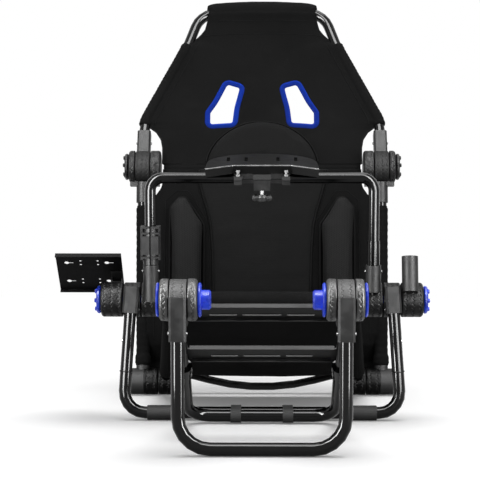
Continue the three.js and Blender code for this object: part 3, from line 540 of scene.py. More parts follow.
PARTS_IN = [
    (gloss, "front_leg_hoop pedal_hoop pedal_rail middle_leg_hoop mast_tube wheel_hoop shifter_post"),
    (gloss, "seat_rear_bar backrest_hoop"),
    (tube_with_ring("seat rail paint", 31.0), "seat_rail"),
    (tube_with_ring("back rail paint", 50.5), "back_rail"),
    (hub_nylon, "front_hub_fork mast_collar shifter_collar seat_front_bar upper_hub_fork"),
    (socket_nylon, "upper_collar front_leg_collar middle_leg_collar mast_clamp"),
    (saddle_with_bolts("deck saddle and bolts"), "deck_saddle"),
    (cap_nylon, "deck_jaw upper_hub_knob"),
    (blue_nylon, "front_hub_knob front_hub_cap middle_hub_knob"),
    (plate_coat, "pedal_plate shifter_bracket"),
    (deck_coat, "deck_plate shifter_plate"),
    (black_rubber, "foot_pad floor_bar_clip"),
    (zinc, "snap_button"),
    (wing_knob_finish("wing knob"), "deck_knob"),
]
bare = set(nodes)
for material, starts in PARTS_IN:
    for name in [name for name in nodes if name.startswith(tuple(starts.split()))]:
        nodes[name].data.materials.clear()
        nodes[name].data.materials.append(material)
        bare.discard(name)
print("still to be replaced:", sorted(bare))

# %% [markdown]
# ## Making meshes
#
# Three makers do almost all the work: a sweep (a round section pushed along a path, for sleeves, piping and
# seams), a two-faced sheet over a grid, and rings of points for what is turned. Points are given in
# millimetres in a section's frame.


# %% Piece makers
def make_piece(name, points, faces, place, material, body=None):
    mesh = bpy.data.meshes.new(name)
    mesh.from_pydata([place @ Vector(p) for p in points], [], [tuple(int(i) for i in f) for f in faces])
    mesh.materials.append(material)
    shaper = bmesh.new()
    shaper.from_mesh(mesh)
    bmesh.ops.recalc_face_normals(shaper, faces=shaper.faces)
    shaper.to_mesh(mesh)
    shaper.free()
    mesh.shade_smooth()
    made = bpy.data.objects.new(name, mesh)
    bpy.context.scene.collection.objects.link(made)
    if body:
        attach(made, body)
    return made


def ring_faces(rings, sides, closed=False):
    """Squares between each ring of points and the next one."""
    faces = []
    for i in range(rings if closed else rings - 1):
        a, b = i * sides, (i + 1) % rings * sides
        faces += [(a + k, a + (k + 1) % sides, b + (k + 1) % sides, b + k) for k in range(sides)]
    return faces


def end_faces(rings, sides):
    return [tuple(range(sides))[::-1], tuple(range((rings - 1) * sides, rings * sides))]


def swept(path, radius, sides=12, closed=False, flatten=1.0):
    """A round section pushed along a path: points and faces of a closed tube."""
    path = [Vector(p) for p in path]
    count = len(path)
    points, side = [], None
    for i, here in enumerate(path):
        before = path[i - 1] if closed or i else here
        after = path[(i + 1) % count] if closed or i + 1 < count else here
        ahead = (after - before).normalized()
        if side is None:
            side = ahead.cross(Vector((0, 1, 0)))
            side = (side if side.length > 0.1 else ahead.cross(Vector((1, 0, 0)))).normalized()
        side = (side - ahead * side.dot(ahead)).normalized()
        up = ahead.cross(side)
        r = radius(i / max(1, count - 1)) if callable(radius) else radius
        for k in range(sides):
            a = 2 * math.pi * k / sides
            points.append(here + side * (r * math.cos(a)) + up * (r * flatten * math.sin(a)))
    return points, ring_faces(count, sides, closed) + ([] if closed else end_faces(count, sides))


def joined(*parts):
    points, faces = [], []
    for more_points, more_faces in parts:
        faces += [tuple(i + len(points) for i in f) for f in more_faces]
        points += list(more_points)
    return points, faces


def bent_path(corners, radii, step=4.0):
    """Straight runs joined by arcs, as points about step apart."""
    corners = [Vector(c) for c in corners]
    path = [corners[0]]
    for before, corner, after, radius in zip(corners, corners[1:], corners[2:], radii):
        to_before, to_after = (before - corner).normalized(), (after - corner).normalized()
        half_angle = to_before.angle(to_after) / 2
        reach = radius / math.tan(half_angle)
        centre = corner + (to_before + to_after).normalized() * (radius / math.sin(half_angle))
        start, end = corner + to_before * reach - centre, corner + to_after * reach - centre
        turn = start.angle(end)
        steps = max(2, round(turn * radius / step))
        for share in np.arange(steps + 1) / steps:
            arc = start * math.sin((1 - share) * turn) + end * math.sin(share * turn)
            path.append(centre + arc / math.sin(turn))
    path.append(corners[-1])
    filled = []
    for a, b in zip(path, path[1:]):
        pieces = max(1, round((b - a).length / step))
        filled += [a.lerp(b, k / pieces) for k in range(pieces)]
    return filled + [path[-1]]


def sheet_faces(rows, columns, keep=None):
    """Front, back and rim of a sheet over a grid, whose front points come first and back points after."""
    index = np.arange(rows * columns).reshape(rows, columns)
    quads = np.stack([index[:-1, :-1], index[:-1, 1:], index[1:, 1:], index[1:, :-1]], -1).reshape(-1, 4)
    if keep is not None:
        quads = quads[keep.reshape(-1)]
    edges = {}
    for quad in quads:
        for a, b in zip(quad, np.roll(quad, -1)):
            edges[(int(a), int(b))] = edges.get((int(b), int(a)), 0) + 1
    rim = [(a, b) for (a, b) in edges if (b, a) not in edges]
    total = rows * columns
    faces = [tuple(q) for q in quads] + [tuple(q[::-1] + total) for q in quads]
    return faces + [(b, a, a + total, b + total) for a, b in rim]


def only_used(points, faces):
    """Drops the points that no face has."""
    used = sorted({int(i) for f in faces for i in f})
    number = {old: new for new, old in enumerate(used)}
    return [points[i] for i in used], [tuple(number[int(i)] for i in f) for f in faces]


def ripple(u, v, seed, size):
    """Smooth random waviness for cloth, between -1 and 1, the same on each run."""
    return noise.noise(Vector((u / size, v / size, seed)))


print("makers ready")

# %% [markdown]
# ## Round hubs with tread
#
# The hub barrels carry zigzag grooves like a tyre's, so that hands can turn them. A groove is real relief
# here: each barrel gets a sleeve, turned about its axis, that dips wherever a zigzag line passes. The
# sleeve also hides the flat sides of the CAD barrel below it.


# %% Tread sleeves
def tread_nylon(hub, top, pale, shine):
    """Nylon as pale as that, with painted shade at the bottom of a groove, where it lies nearer to the hub's
    axis.
    """
    f = Finish(f"{hub} hub tread")
    _, back, up = f.local(flat_section[hub])
    # Painted shade: deep is 1 at the bottom of a groove, and the tint goes to near black there.
    deep = 1.0 - f.off_axis(back, up).ramp(top - 1.1, top - 0.75)
    mottle, grain = f.mottle(60.0, 5.0), f.pebbles(700.0)
    skin = f.mix(grey(0.37 * pale), grey(pale), mottle * 0.6 + grain * 0.4)
    return f.done(Base_Color=f.mix(skin, grey(9), deep), Roughness=0.27 + 0.12 * mottle + 0.3 * deep,
                  Normal=f.bump(grain + mottle, 0.00018), Specular_IOR_Level=shine)


# The paleness given for each hub is painted light: one nylon is painted lighter on the front hub, where the
# lamps fall, and darker on the low hub, in the shade under the seat.
TREADS = {"front": (38.4, 86, 0.3), "middle": (35.9, 42, 0.1),
          "low": (30.9, 14, 0.06), "upper": (37.9, 48, 0.13)}
treads = {hub: tread_nylon(hub, *look) for hub, look in TREADS.items()}


def tread_sleeve(name, body, hub, x0, x1, radius, rims=(0, 0)):
    """rims says how far each end is rounded off, where the barrel ends in the open."""
    proud, dip, groove, zig, teeth = 0.9, 1.5, 1.0, 2.2, 24
    around, step, line_pitch = 192, 0.75, 13
    turns = [2 * math.pi * k / around for k in range(around)]
    lines = max(1, round((x1 - x0) / line_pitch))
    centres = [x0 + (x1 - x0) * (k + 0.5) / lines for k in range(lines)]
    columns = max(8, round((x1 - x0) / step))
    stations = [x0] + [x0 + 0.25 + (x1 - x0 - 0.5) * k / columns for k in range(columns + 1)] + [x1]
    points = []
    for x in stations:
        lowered = 0.0
        for reach, rim in ((x - x0, rims[0]), (x1 - x, rims[1])):
            width, depth = (rim, rim) if rim else (2.0, 1.5)
            short = max(0.0, 1 - reach / width)
            lowered += depth * (1 - math.sqrt(1 - short * short * 0.999))
        for k, a in enumerate(turns):
            phase = k / around * teeth % 1
            zag = zig * (4 * abs(phase - 0.5) - 1)
            cut = max(max(0.0, 1 - abs(x - c - zag) / groove) for c in centres)
            r = radius + proud - lowered - min(1.0, cut * 1.8) * dip
            points.append((x, r * math.cos(a), r * math.sin(a)))
    faces = ring_faces(len(stations), around)
    inner = len(points)
    for x, rim in ((x0, rims[0]), (x1, rims[1])):
        bore = radius - 3 - rim
        points += [(x, bore * math.cos(a), bore * math.sin(a)) for a in turns]
    last = (len(stations) - 1) * around
    for k in range(around):
        n = (k + 1) % around
        faces += [(n, k, inner + k, inner + n), (last + k, last + n, inner + around + n, inner + around + k),
                  (inner + k, inner + around + k, inner + around + n, inner + n)]
    return make_piece(name, points, faces, flat_section[hub], treads[hub], body)


RIM = 6.0
BARRELS = [
    ("front_inner", "front", 116.3, 133.5, 37.5, ("pedal_head", "pedal_head"), (RIM, 0)),
    ("front_middle", "front", 135.5, 166.5, 36.5, ("front_leg", "front_leg"), (0, 0)),
    ("front_outer", "front", 168.5, 184.7, 37.5, ("pedal_head", "pedal_head"), (0, RIM)),
    ("middle_seat", "middle", 172.5, 205.5, 35.0, ("seat", "seat"), (0, 0)),
    ("middle_mast", "middle", 209.0, 249.5, 35.0, ("mast", "mast"), (0, 0)),
    ("middle_leg", "middle", 253.0, 286.5, 35.0, ("middle_frame", "middle_frame"), (0, 0)),
    ("middle_shifter", "middle", 290.0, 334.7, 35.0, ("shifter_arm", "spare_socket"), (0, RIM)),
    ("low_seat", "low", 207.5, 237.5, 30.0, ("seat", "seat"), (0, 0)),
    ("low_back", "low", 240.5, 272.0, 30.0, ("lower_back", "lower_back"), (0, 0)),
    ("upper_inner", "upper", 237.3, 260.0, 37.0, ("lower_back", "lower_back"), (RIM, 0)),
    ("upper_middle", "upper", 262.5, 295.5, 36.0, ("upper_back", "upper_back"), (0, 0)),
    ("upper_outer", "upper", 298.0, 311.7, 37.0, ("lower_back", "lower_back"), (0, RIM)),
]
for name, hub, inner, outer, radius, (left_body, right_body), rims in BARRELS:
    tread_sleeve(f"tread_{name}_right", right_body, hub, inner, outer, radius, rims)
    tread_sleeve(f"tread_{name}_left", left_body, hub, -outer, -inner, radius, rims[::-1])
print("tread sleeves:", 2 * len(BARRELS))

# %% [markdown]
# ## The upper back
#
# The headrest and shoulder cloth is one sheet, cut narrower at the head. It is sewn into a sleeve round the
# hoop at the shoulders and over the top bar, and left open at both upper corners. Two shoulder slots are
# bound in blue tape. A padded half-round rises from its foot. The sheet is a grid whose rows are as wide as
# the cloth is at that height, so that every edge is clean.

# %% Upper cloth
HINGE_GAP, CLOTH, HEM = 6.0, 2.4, 15.0
UPPER_EDGE = [(6, 233), (50, 234), (72, 238), (92, 250), (103, 264), (107, 278), (132, 273),
              (327, 180), (338, 169), (350, 159), (361, 148.5), (375, 138.5), (397, 132.7), (427, 130)]
SHOULDER_SLOT = [(86, 236), (43, 222), (63, 106), (133, 102), (135, 144)]
HOOP_X, TOP_BAR, HEAD_END = 279.0, 427.0, 131.0
SLEEVE_LOW, SLEEVE_HIGH = 107, 331


def rounded_outline(corners, radius):
    """A closed outline in a section's plane, with its corners rounded."""
    flat = [Vector((x, 0, z)) for x, z in corners]
    arcs = []
    for before, corner, after in zip(flat[-1:] + flat, flat, flat[1:] + flat[:1]):
        arcs += bent_path([(before + corner) / 2, corner, (corner + after) / 2], [radius], 3.0)[:-1]
    return arcs


def even_loop(points, step):
    """Points spread evenly along a closed loop."""
    ends = points[1:] + points[:1]
    lengths = [(b - a).length for a, b in zip(points, ends)]
    total = sum(lengths)
    count = max(8, round(total / step))
    result, walked, i = [], 0.0, 0
    for k in range(count):
        goal = total * k / count
        while walked + lengths[i] < goal:
            walked += lengths[i]
            i += 1
        result.append(points[i].lerp(ends[i], (goal - walked) / lengths[i]))
    return result


SLOT_STEP = 2.5
slot_loop = even_loop(rounded_outline(SHOULDER_SLOT, 14.0), SLOT_STEP)
print("shoulder slot is", round(len(slot_loop) * SLOT_STEP / 10), "cm round")

# %% Sheets over a grid
def half_width(edge, v):
    heights, widths = zip(*edge)
    return float(np.interp(v, heights, widths))


def inside(loop, x, z):
    """Whether a point of the section's plane lies within a closed loop."""
    crossings = False
    for a, b in zip(loop, loop[1:] + loop[:1]):
        if (a.z > z) != (b.z > z) and x < (b.x - a.x) * (z - a.z) / (b.z - a.z) + a.x:
            crossings = not crossings
    return crossings


def nearest_on(loop, x, z):
    best = min(loop, key=lambda p: (p.x - x) ** 2 + (p.z - z) ** 2)
    return best.x, best.z


UPPER_ROWS, UPPER_COLUMNS = 108, 121
rows_v = np.interp(np.linspace(0, 1, UPPER_ROWS), [0, 0.2, 0.3, 1], [HINGE_GAP, 92, 118, TOP_BAR])
slots = {side: [Vector((p.x * side, 0, p.z)) for p in slot_loop] for side in (-1, 1)}


def in_slot(x, z):
    return any(inside(loop, x, z) for loop in slots.values())


grid = np.zeros((UPPER_ROWS, UPPER_COLUMNS, 2))
for r, v in enumerate(rows_v):
    grid[r, :, 0] = np.linspace(-1, 1, UPPER_COLUMNS) * half_width(UPPER_EDGE, v)
    grid[r, :, 1] = v
centres = (grid[:-1, :-1] + grid[:-1, 1:] + grid[1:, 1:] + grid[1:, :-1]) / 4
keep = np.array([[not in_slot(*c) for c in row] for row in centres])
padded_keep = np.pad(keep, 1, constant_values=True)
for r in range(UPPER_ROWS):
    for c in range(UPPER_COLUMNS):
        around = padded_keep[r:r + 2, c:c + 2]
        if around.any() and not around.all():
            x, z = grid[r, c]
            grid[r, c] = nearest_on(slots[1 if x > 0 else -1], x, z)


def clipped(share):
    return min(1.0, max(0.0, share))


def bumps(share, count, seed):
    """Random fullness along a seam, between -1 and 1."""
    return noise.noise(Vector((share * count, seed, 0)))


def off_tube(from_edge):
    """Cloth is pulled round the front of a tube, and falls back to the section's plane as it leaves it."""
    return 12.6 * math.exp(-max(0.0, from_edge - 4) / 30.0)


def head_roll_radius(share):
    """The head end is padded: a soft roll, fullest in the middle, that is drawn in at both ends."""
    end = clipped(min(share, 1 - share) / 0.02)
    full = math.sin(math.pi * clipped(share)) ** 0.8
    return 16.0 + 5.6 * math.sqrt(end * (2 - end)) + 6.4 * full + 0.5 * bumps(share, 11, 5.2)


def upper_face(x, v):
    """How far the front of the cloth stands off the section's plane."""
    from_edge = half_width(UPPER_EDGE, v) - abs(x)
    wrap = off_tube(from_edge) * clipped(min((v - 100) / 16, (345 - v) / 20))
    over_bar = (head_roll_radius(0.5 + x / (2 * HEAD_END)) - 3.0) * math.exp(-max(0.0, 411 - v) / 22.0)
    slack = 1.6 * ripple(x, v, 1.0, 120.0) + 0.7 * ripple(x, v, 2.0, 38.0)
    return CLOTH / 2 + max(wrap, over_bar) - slack * min(1.0, from_edge / 40)


front = [(x, -upper_face(x, v), v) for x, v in grid.reshape(-1, 2)]
back = [(x, y + CLOTH, v) for x, y, v in front]
cloth_points, cloth_faces = only_used(front + back, sheet_faces(UPPER_ROWS, UPPER_COLUMNS, keep))
upper_sheet = make_piece("upper_back_cloth", cloth_points, cloth_faces, upper_section, upper_cloth,
                         "upper_back")
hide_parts("upper_back_cover")
print("upper cloth:", len(cloth_points), "points")

# %% [markdown]
# The sleeve round the hoop is a round of cloth a little wider than the tube, with a row of stitches where
# it meets the flat cloth. Pushing a circle along the hoop's own path gives it. The cloth's bare edges, at its
# foot and at both upper corners, are turned over in a thin hem.

# %% Sleeves round the hoop
HOOP_CORNERS = [(HOOP_X, 38), (HOOP_X, 117), (184, 322), (150, TOP_BAR)]
HEAD_SEAM, YOKE_SEAM, SEAM_IN, STITCH, HEM_EDGE = 396, 365, 24, 0.8, 2.2
right_corners = [(x, 0, z) for x, z in HOOP_CORNERS]
left_corners = [(-x, 0, z) for x, z in HOOP_CORNERS]
hoop = bent_path(left_corners + right_corners[::-1], [90, 300, 60, 60, 300, 90], 3.0)
side_runs = [[p for p in hoop if p.x * side > HEAD_END and SLEEVE_LOW <= p.z <= SLEEVE_HIGH]
             for side in (1, -1)]
top_run = [p for p in hoop if abs(p.x) <= HEAD_END and p.z > 405]


def sleeve_radius(share):
    puckers = 0.35 * math.sin(share * 150) + 0.5 * bumps(share, 14, 3.1)
    return HEM + 0.4 + puckers - 1.4 * (min(share, 1 - share) < 0.012)


def sleeves(name, runs, radius, place, cloth, body, *more):
    """Cloth tubes along the given runs, as one piece."""
    return make_piece(name, *joined(*(swept(run, radius, 28) for run in runs), *more), place, cloth, body)


upper_sleeves = sleeves("hoop_sleeves", side_runs, sleeve_radius, upper_section, upper_cloth, "upper_back",
                        swept(top_run, head_roll_radius, 40))


def on_upper(points, lift=0.3):
    return [Vector((p[0], -upper_face(p[0], p[2]) - lift, p[2])) for p in points]


def stitches(points):
    return swept(points, STITCH, 8)


beside_sleeves = [[(p.x - math.copysign(SEAM_IN, p.x), 0, p.z) for p in run] for run in side_runs]
head_line = [(x, 0, HEAD_SEAM) for x in range(-130, 131, 4)]
yoke_line = [(x, 0, YOKE_SEAM - 0.0003 * x * x) for x in range(-144, 145, 4)]
upper_seams = [stitches(on_upper(line)) for line in (*beside_sleeves, head_line, yoke_line)]
for side in (-1, 1):
    for low, high in ((SLEEVE_HIGH, 412), (8, SLEEVE_LOW)):
        edge = [(side * half_width(UPPER_EDGE, v), 0, v) for v in range(low, high, 3)]
        upper_seams.append(swept(on_upper(edge, -0.8), HEM_EDGE, 12))
make_piece("upper_back_seams", *joined(*upper_seams), upper_section, piping_cord, "upper_back")
print("hoop sleeves and seams are sewn")

# %% [markdown]
# Tape folded over the raw edge of a slot makes a flat oval rim. A circle swept round the slot and pressed
# flatter has that section, and a row of stitches runs along its middle.

# %% Blue binding of the shoulder slots
RIM_WIDTH, RIM_FLATNESS = 13.0, 0.6
for side, word in ((-1, "left"), (1, "right")):
    loop = slots[side]
    middle = sum(loop, Vector()) / len(loop)
    inner_loop = [p + (middle - p).normalized() * (RIM_WIDTH / 2 - 1) for p in loop]
    ring_path = on_upper(inner_loop, -CLOTH / 2)
    ring = swept(ring_path, RIM_WIDTH / 2, 20, closed=True, flatten=RIM_FLATNESS)
    to_front = Vector((0, -RIM_WIDTH / 2 * RIM_FLATNESS, 0))
    stitch = swept([p + to_front for p in ring_path], 0.55, 6, closed=True)
    rim = make_piece(f"shoulder_binding_{word}", *joined(ring, stitch), upper_section, binding_blue,
                     "upper_back")
    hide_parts(f"hole_rim_{word}")
print("shoulder slots bound")

# %% [markdown]
# ## Padding that is really stuffed
#
# A pad is cut from cloth, sewn round its edge and filled, so its sides pull in at the seam and its middle
# crowns. Blender's cloth solver gets this right by itself: start from a slightly thin slab, remesh it into
# even squares, blow it up with a little pressure, and let the cloth find its shape. The slab's shape and a
# limit on how far a point may move keep the pad on the seat. At the end its back is laid on the cloth.


# %% Pad maker
def baked(piece):
    """Replaces a piece's mesh by what its modifiers make of it."""
    graph = bpy.context.evaluated_depsgraph_get()
    mesh = bpy.data.meshes.new_from_object(piece.evaluated_get(graph))
    piece.modifiers.clear()
    piece.data = mesh


def distance_to(loop, x, z):
    best = 1e9
    for a, b in zip(loop, loop[1:] + loop[:1]):
        run = Vector((b.x - a.x, b.z - a.z))
        share = max(0.0, min(1.0, ((x - a.x) * run.x + (z - a.z) * run.y) / run.length_squared))
        best = min(best, math.hypot(x - a.x - run.x * share, z - a.z - run.y * share))
    return best


VOXEL, MILLIMETRES = 0.0045, Matrix.Diagonal((0.001, 0.001, 0.001, 1))


def slab(name, loop, back, depth, round_over, place, material):
    """A closed slab over an outline, crowned towards the driver, as even voxels."""
    points = [(p.x, y, p.z) for y in (back, back - depth) for p in loop]
    faces = ring_faces(2, len(loop)) + end_faces(2, len(loop))
    made = make_piece(name, points, faces, MILLIMETRES, material)
    remesh = made.modifiers.new("even", "REMESH")
    remesh.mode, remesh.voxel_size = "VOXEL", VOXEL
    baked(made)
    for vertex in made.data.vertices:
        x, y, z = (c * 1000.0 for c in vertex.co)
        edge = min(1.0, distance_to(loop, x, z) / round_over)
        crown = math.sqrt(1 - (1 - edge) ** 2)
        y = back + (y - back) * (0.25 + 0.75 * crown)
        vertex.co = place @ Vector((x, y, z))
    made.data.shade_smooth()
    return made


def stuff(piece, pressure, most, frames=20):
    """Blows a pad up with cloth pressure and keeps each point within most metres of where it began."""
    scene = bpy.context.scene
    scene.frame_set(1)
    cloth = piece.modifiers.new("fill", "CLOTH")
    cloth.settings.use_pressure = True
    cloth.settings.uniform_pressure_force = pressure
    cloth.settings.effector_weights.gravity = 0.0
    cloth.settings.quality = 5
    cloth.point_cache.frame_start, cloth.point_cache.frame_end = 1, frames
    before = np.array([v.co for v in piece.data.vertices])
    for number in range(1, frames + 1):
        scene.frame_set(number)
    graph = bpy.context.evaluated_depsgraph_get()
    after = np.array([v.co for v in piece.evaluated_get(graph).data.vertices])
    piece.modifiers.clear()
    moved = after - before
    length = np.linalg.norm(moved, axis=1, keepdims=True)
    moved *= np.minimum(1.0, most / np.maximum(length, 1e-9))
    piece.data.vertices.foreach_set("co", (before + moved).astype(np.float32).ravel())
    piece.data.update()
    scene.frame_set(1)
    return float(length.mean())


def finish_pad(piece, body, place, face):
    """Rounds a pad's net off, and lays its back on the cloth that carries it."""
    smooth = piece.modifiers.new("even out", "SMOOTH")
    smooth.factor, smooth.iterations = 0.5, 3
    piece.modifiers.new("finer", "SUBSURF").levels = 1
    piece.modifiers["finer"].render_levels = 1
    baked(piece)
    to_section = place.inverted()
    for vertex in piece.data.vertices:
        x, y, v = to_section @ vertex.co
        vertex.co = place @ Vector((x, min(y, CLOTH / 3 - face(x, v)), v))
    piece.data.shade_smooth()
    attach(piece, body)


# %% The front of the lower cloth
APRON_START, LOWER_TOP = 84.0, BACK_LENGTH - HINGE_GAP
LOWER_EDGE = [(APRON_START, 275), (408, 278), (420, 266), (436, 247), (452, 236), (466, 233),
              (LOWER_TOP, 233)]


def lower_wave(x, v, from_edge):
    return (1.3 * ripple(x, v, 5.0, 110.0) + 0.5 * ripple(x, v, 6.0, 34.0)) * min(1, from_edge / 30)


def lower_face(x, v):
    """How far the front of the lower cloth stands off its section's plane."""
    from_edge = half_width(LOWER_EDGE, v) - abs(x)
    on_rail = clipped(min(v - APRON_START, 424 - v) / 24)
    return CLOTH / 2 + off_tube(from_edge) * on_rail - lower_wave(x, v, from_edge)


def on_lower(points, lift=0.5):
    return [Vector((p[0], -lower_face(p[0], p[2]) - lift, p[2])) for p in points]


# %% Side bolsters
BOLSTER = [(136, 100), (215, 100), (215, 404), (194, 428), (178, 428), (136, 364)]
PRESSURE = 4.0
for side, word in ((1, "right"), (-1, "left")):
    outline = rounded_outline([(x * side, z) for x, z in BOLSTER], 11.0)
    bolster = slab(f"side_bolster_pad_{word}", even_loop(outline, 5.0), -3.2, 34.0, 36.0, lower_section,
                   mesh_cloth)
    moved = stuff(bolster, PRESSURE, 0.006)
    finish_pad(bolster, "lower_back", lower_section, lower_face)
    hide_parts(f"side_bolster_{word}")
    piping = swept([(p.x, -4.5, p.z) for p in even_loop(outline, 4.0)], 2.6, 12, closed=True)
    make_piece(f"bolster_piping_{word}", *piping, lower_section, piping_cord, "lower_back")
    print(f"{bolster.name}: {len(bolster.data.vertices)} points, moved {moved * 1000:.1f} mm on average")


# %% Padded half-round at the foot of the upper back
DOME_CURVE = [(132, 6), (126, 70), (66, 120), (0, 120)]


def curve_point(t, a, b, c, d):
    """A point of the cubic curve that leaves a towards b and reaches d from c."""
    return (1 - t) ** 3 * a + 3 * (1 - t) ** 2 * t * b + 3 * (1 - t) * t ** 2 * c + t ** 3 * d


dome_x, dome_z = (curve_point(np.linspace(0, 1, 40), *values) for values in zip(*DOME_CURVE))
dome_side = [(float(np.interp(v, dome_z, dome_x)), v) for v in np.linspace(HINGE_GAP + 1, 119, 26)]
dome_outline = [Vector((x, 0, v)) for x, v in dome_side] + [Vector((-x, 0, v)) for x, v in dome_side[::-1]]
dome = slab("neck_pad", even_loop(dome_outline, 5.0), -2.0, 13.0, 24.0, upper_section, dome_cloth)
stuff(dome, PRESSURE, 0.004)
finish_pad(dome, "upper_back", upper_section, upper_face)
dome_edge = [(p.x, -3.4, p.z) for p in even_loop(dome_outline, 4.0) if p.z > HINGE_GAP + 2]
make_piece("neck_pad_piping", *swept(dome_edge, 1.8, 10), upper_section, piping_cord, "upper_back")
print("neck pad:", len(dome.data.vertices), "points")

# %% [markdown]
# ## The lower back
#
# The lower cloth hangs between the two back rails, and its foot drops behind the low hubs in an apron that
# is deeper at both sides. It is again one grid: its rows first run down the section's plane, then turn back
# behind the hubs.

# %% Lower cloth
APRON_BACK, APRON_TURN, APRON_LOW, APRON_HIGH, APRON_HALF = 33.5, 46.0, -22.0, 21.0, 283.0
LOWER_COLUMNS = 97
turn_slope = APRON_BACK / (APRON_START - APRON_TURN)
flat_rows = [(v, 0.0, 0.0) for v in np.linspace(LOWER_TOP, APRON_START, 84)]
turn_rows = [(v, turn_slope * (APRON_START - v), 0.0) for v in np.linspace(80, APRON_TURN, 9)]
fall_rows = [(0.0, APRON_BACK, share) for share in np.linspace(0.08, 1, 14)]
lower_rows = flat_rows + turn_rows + fall_rows
front, back = [], []
for v, behind, fall in lower_rows:
    width = APRON_HALF if fall else half_width(LOWER_EDGE, max(v, APRON_START))
    for t in np.linspace(-1, 1, LOWER_COLUMNS):
        x = t * (min(APRON_HALF, width + 8) if behind else width)
        height = v
        if fall:
            deep = clipped((abs(x) - 190) / 16)
            lowest = APRON_HIGH + (APRON_LOW - APRON_HIGH) * deep * deep * (3 - 2 * deep)
            height = APRON_TURN + (lowest - APRON_TURN) * fall
        fold = 1.6 * math.sin(x / 17.0) * fall
        stand = CLOTH / 2 - lower_wave(x, height, width - abs(x)) if behind else lower_face(x, v)
        front.append((x, behind - stand + fold, height))
        back.append((x, behind - stand + CLOTH + fold, height))
cloth_points, cloth_faces = only_used(front + back, sheet_faces(len(lower_rows), LOWER_COLUMNS))
lower_sheet = make_piece("lower_back_cloth", cloth_points, cloth_faces, lower_section, lower_cloth,
                         "lower_back")
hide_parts("lower_back_cover")
RAIL_LOW, RAIL_SPREAD = 275.0, 4.0 / 435
rails = [[(side * (RAIL_LOW + RAIL_SPREAD * v), 0, v) for v in np.linspace(37, 408, 126)] for side in (-1, 1)]


def rail_sleeve_radius(share):
    """The sleeve is drawn over the socket at its foot, and is wider there."""
    return sleeve_radius(share) + 2.6 / (1 + math.exp((share - 0.06) * 160))


lower_sleeves = sleeves("back_rail_sleeves", rails, rail_sleeve_radius, lower_section, lower_cloth,
                        "lower_back")
print("lower cloth:", len(cloth_points), "points")

# %% [markdown]
# The centre panel is a thin quilted pad of lighter cloth. It is widest at the waist of the cut and its edges
# curve in between the bolsters, with a cord of piping along both. A second seam runs beside each bolster.

# %% Centre panel and its seams
PANEL_FOOT = 94
PANEL_EDGE = [(PANEL_FOOT, 112), (218, 112.5), (300, 114.5), (361, 119), (395, 126), (418, 133),
              (440, 139.5), (461, 145), (489, 147)]
PANEL_ROWS, PANEL_COLUMNS = 96, 61
front, back = [], []
for v in np.linspace(PANEL_FOOT, LOWER_TOP, PANEL_ROWS):
    width = half_width(PANEL_EDGE, v)
    for t in np.linspace(-1, 1, PANEL_COLUMNS):
        x = t * width
        from_edge = min(width - abs(x), v - PANEL_FOOT)
        crown = 4.6 * (1 - math.exp(-max(0.0, from_edge) / 9.0))
        crease = 0.8 * ripple(x * 0.5, v * 2.0, 9.0, 60.0) + 0.6 * ripple(x, v * 3.0, 8.0, 90.0)
        front.append((x, -CLOTH / 2 - 1.2 - crown - crease * min(1, from_edge / 20), v))
        back.append((x, -CLOTH / 2 + 0.2, v))
panel = make_piece("centre_panel", front + back, sheet_faces(PANEL_ROWS, PANEL_COLUMNS), lower_section,
                   panel_cloth, "lower_back")


def on_panel_edge(side, out, lift):
    heights = np.linspace(PANEL_FOOT, LOWER_TOP - 2, 90)
    return [(side * (half_width(PANEL_EDGE, v) + out), -lift, v) for v in heights]


OUTER_SEAMS, SHOULDER_SEAM = (226, 250), [(226, 420), (200, 445), (172, 445), (127, 372)]
lower_seams = []
for side in (-1, 1):
    lower_seams.append(swept(on_panel_edge(side, 0.5, 4.0), 2.0, 10))
    lines = [[(side * x, 0, v) for v in np.linspace(96, 420, 80)] for x in OUTER_SEAMS]
    lower_seams += [stitches(on_lower(line)) for line in (on_panel_edge(side, 6.5, 0), *lines)]
    shoulder_line = bent_path([(side * x, 0, v) for x, v in SHOULDER_SEAM], [12, 12])
    lower_seams.append(swept(on_lower(shoulder_line), 0.9, 8))
make_piece("lower_back_seams", *joined(*lower_seams), lower_section, piping_cord, "lower_back")
print("centre panel and seams are on")

# %% [markdown]
# Where the two back cloths meet, a strip of the same cloth bridges the upper hubs. It is bent at the hinge,
# so it follows the lower back at its foot and the upper back at its top.

# %% Cloth across the recline hinge
STRIP_REACH, STRIP_HALF, STRIP_ROWS, STRIP_COLUMNS = 10.0, 231.0, 15, 61
to_upper = flat_section["upper"]
lower_up = (lower_section.to_3x3() @ Vector((0, 0, 1))).normalized()
upper_up = (upper_section.to_3x3() @ Vector((0, 0, 1))).normalized()
strip_points = []
strip_x = np.linspace(-STRIP_HALF, STRIP_HALF, STRIP_COLUMNS)
for face in (1, -1):
    for share in np.linspace(-1, 1, STRIP_ROWS):
        along = (lower_up if share < 0 else upper_up) * (share * STRIP_REACH)
        strip_points += [(x, along.y - face * 0.9, along.z) for x in strip_x]
strip = make_piece("hinge_cloth", strip_points, sheet_faces(STRIP_ROWS, STRIP_COLUMNS), to_upper, upper_cloth)
hinge_low = to_upper @ (lower_up * -STRIP_REACH)
hinge_high = to_upper @ (upper_up * STRIP_REACH)
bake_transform(strip)
print("hinge cloth bends over", round((hinge_high - hinge_low).length * 1000), "mm")

# %% [markdown]
# ## The seat
#
# The seat is a sling like a deck chair's: one cloth, wrapped round the front bar and sleeved over both seat
# rails, that sags most just behind its middle.

# %% Seat sling
RAIL_FRONT, RAIL_REAR, SAG, BAR_HALF = 189.0, 222.0, 30.0, 166
SLING_START, SLING_END = 8, SEAT_LENGTH - 43
SLING_ROWS, SLING_COLUMNS = 72, 65


def rail_x(y):
    return RAIL_FRONT + (RAIL_REAR - RAIL_FRONT) * y / SEAT_LENGTH


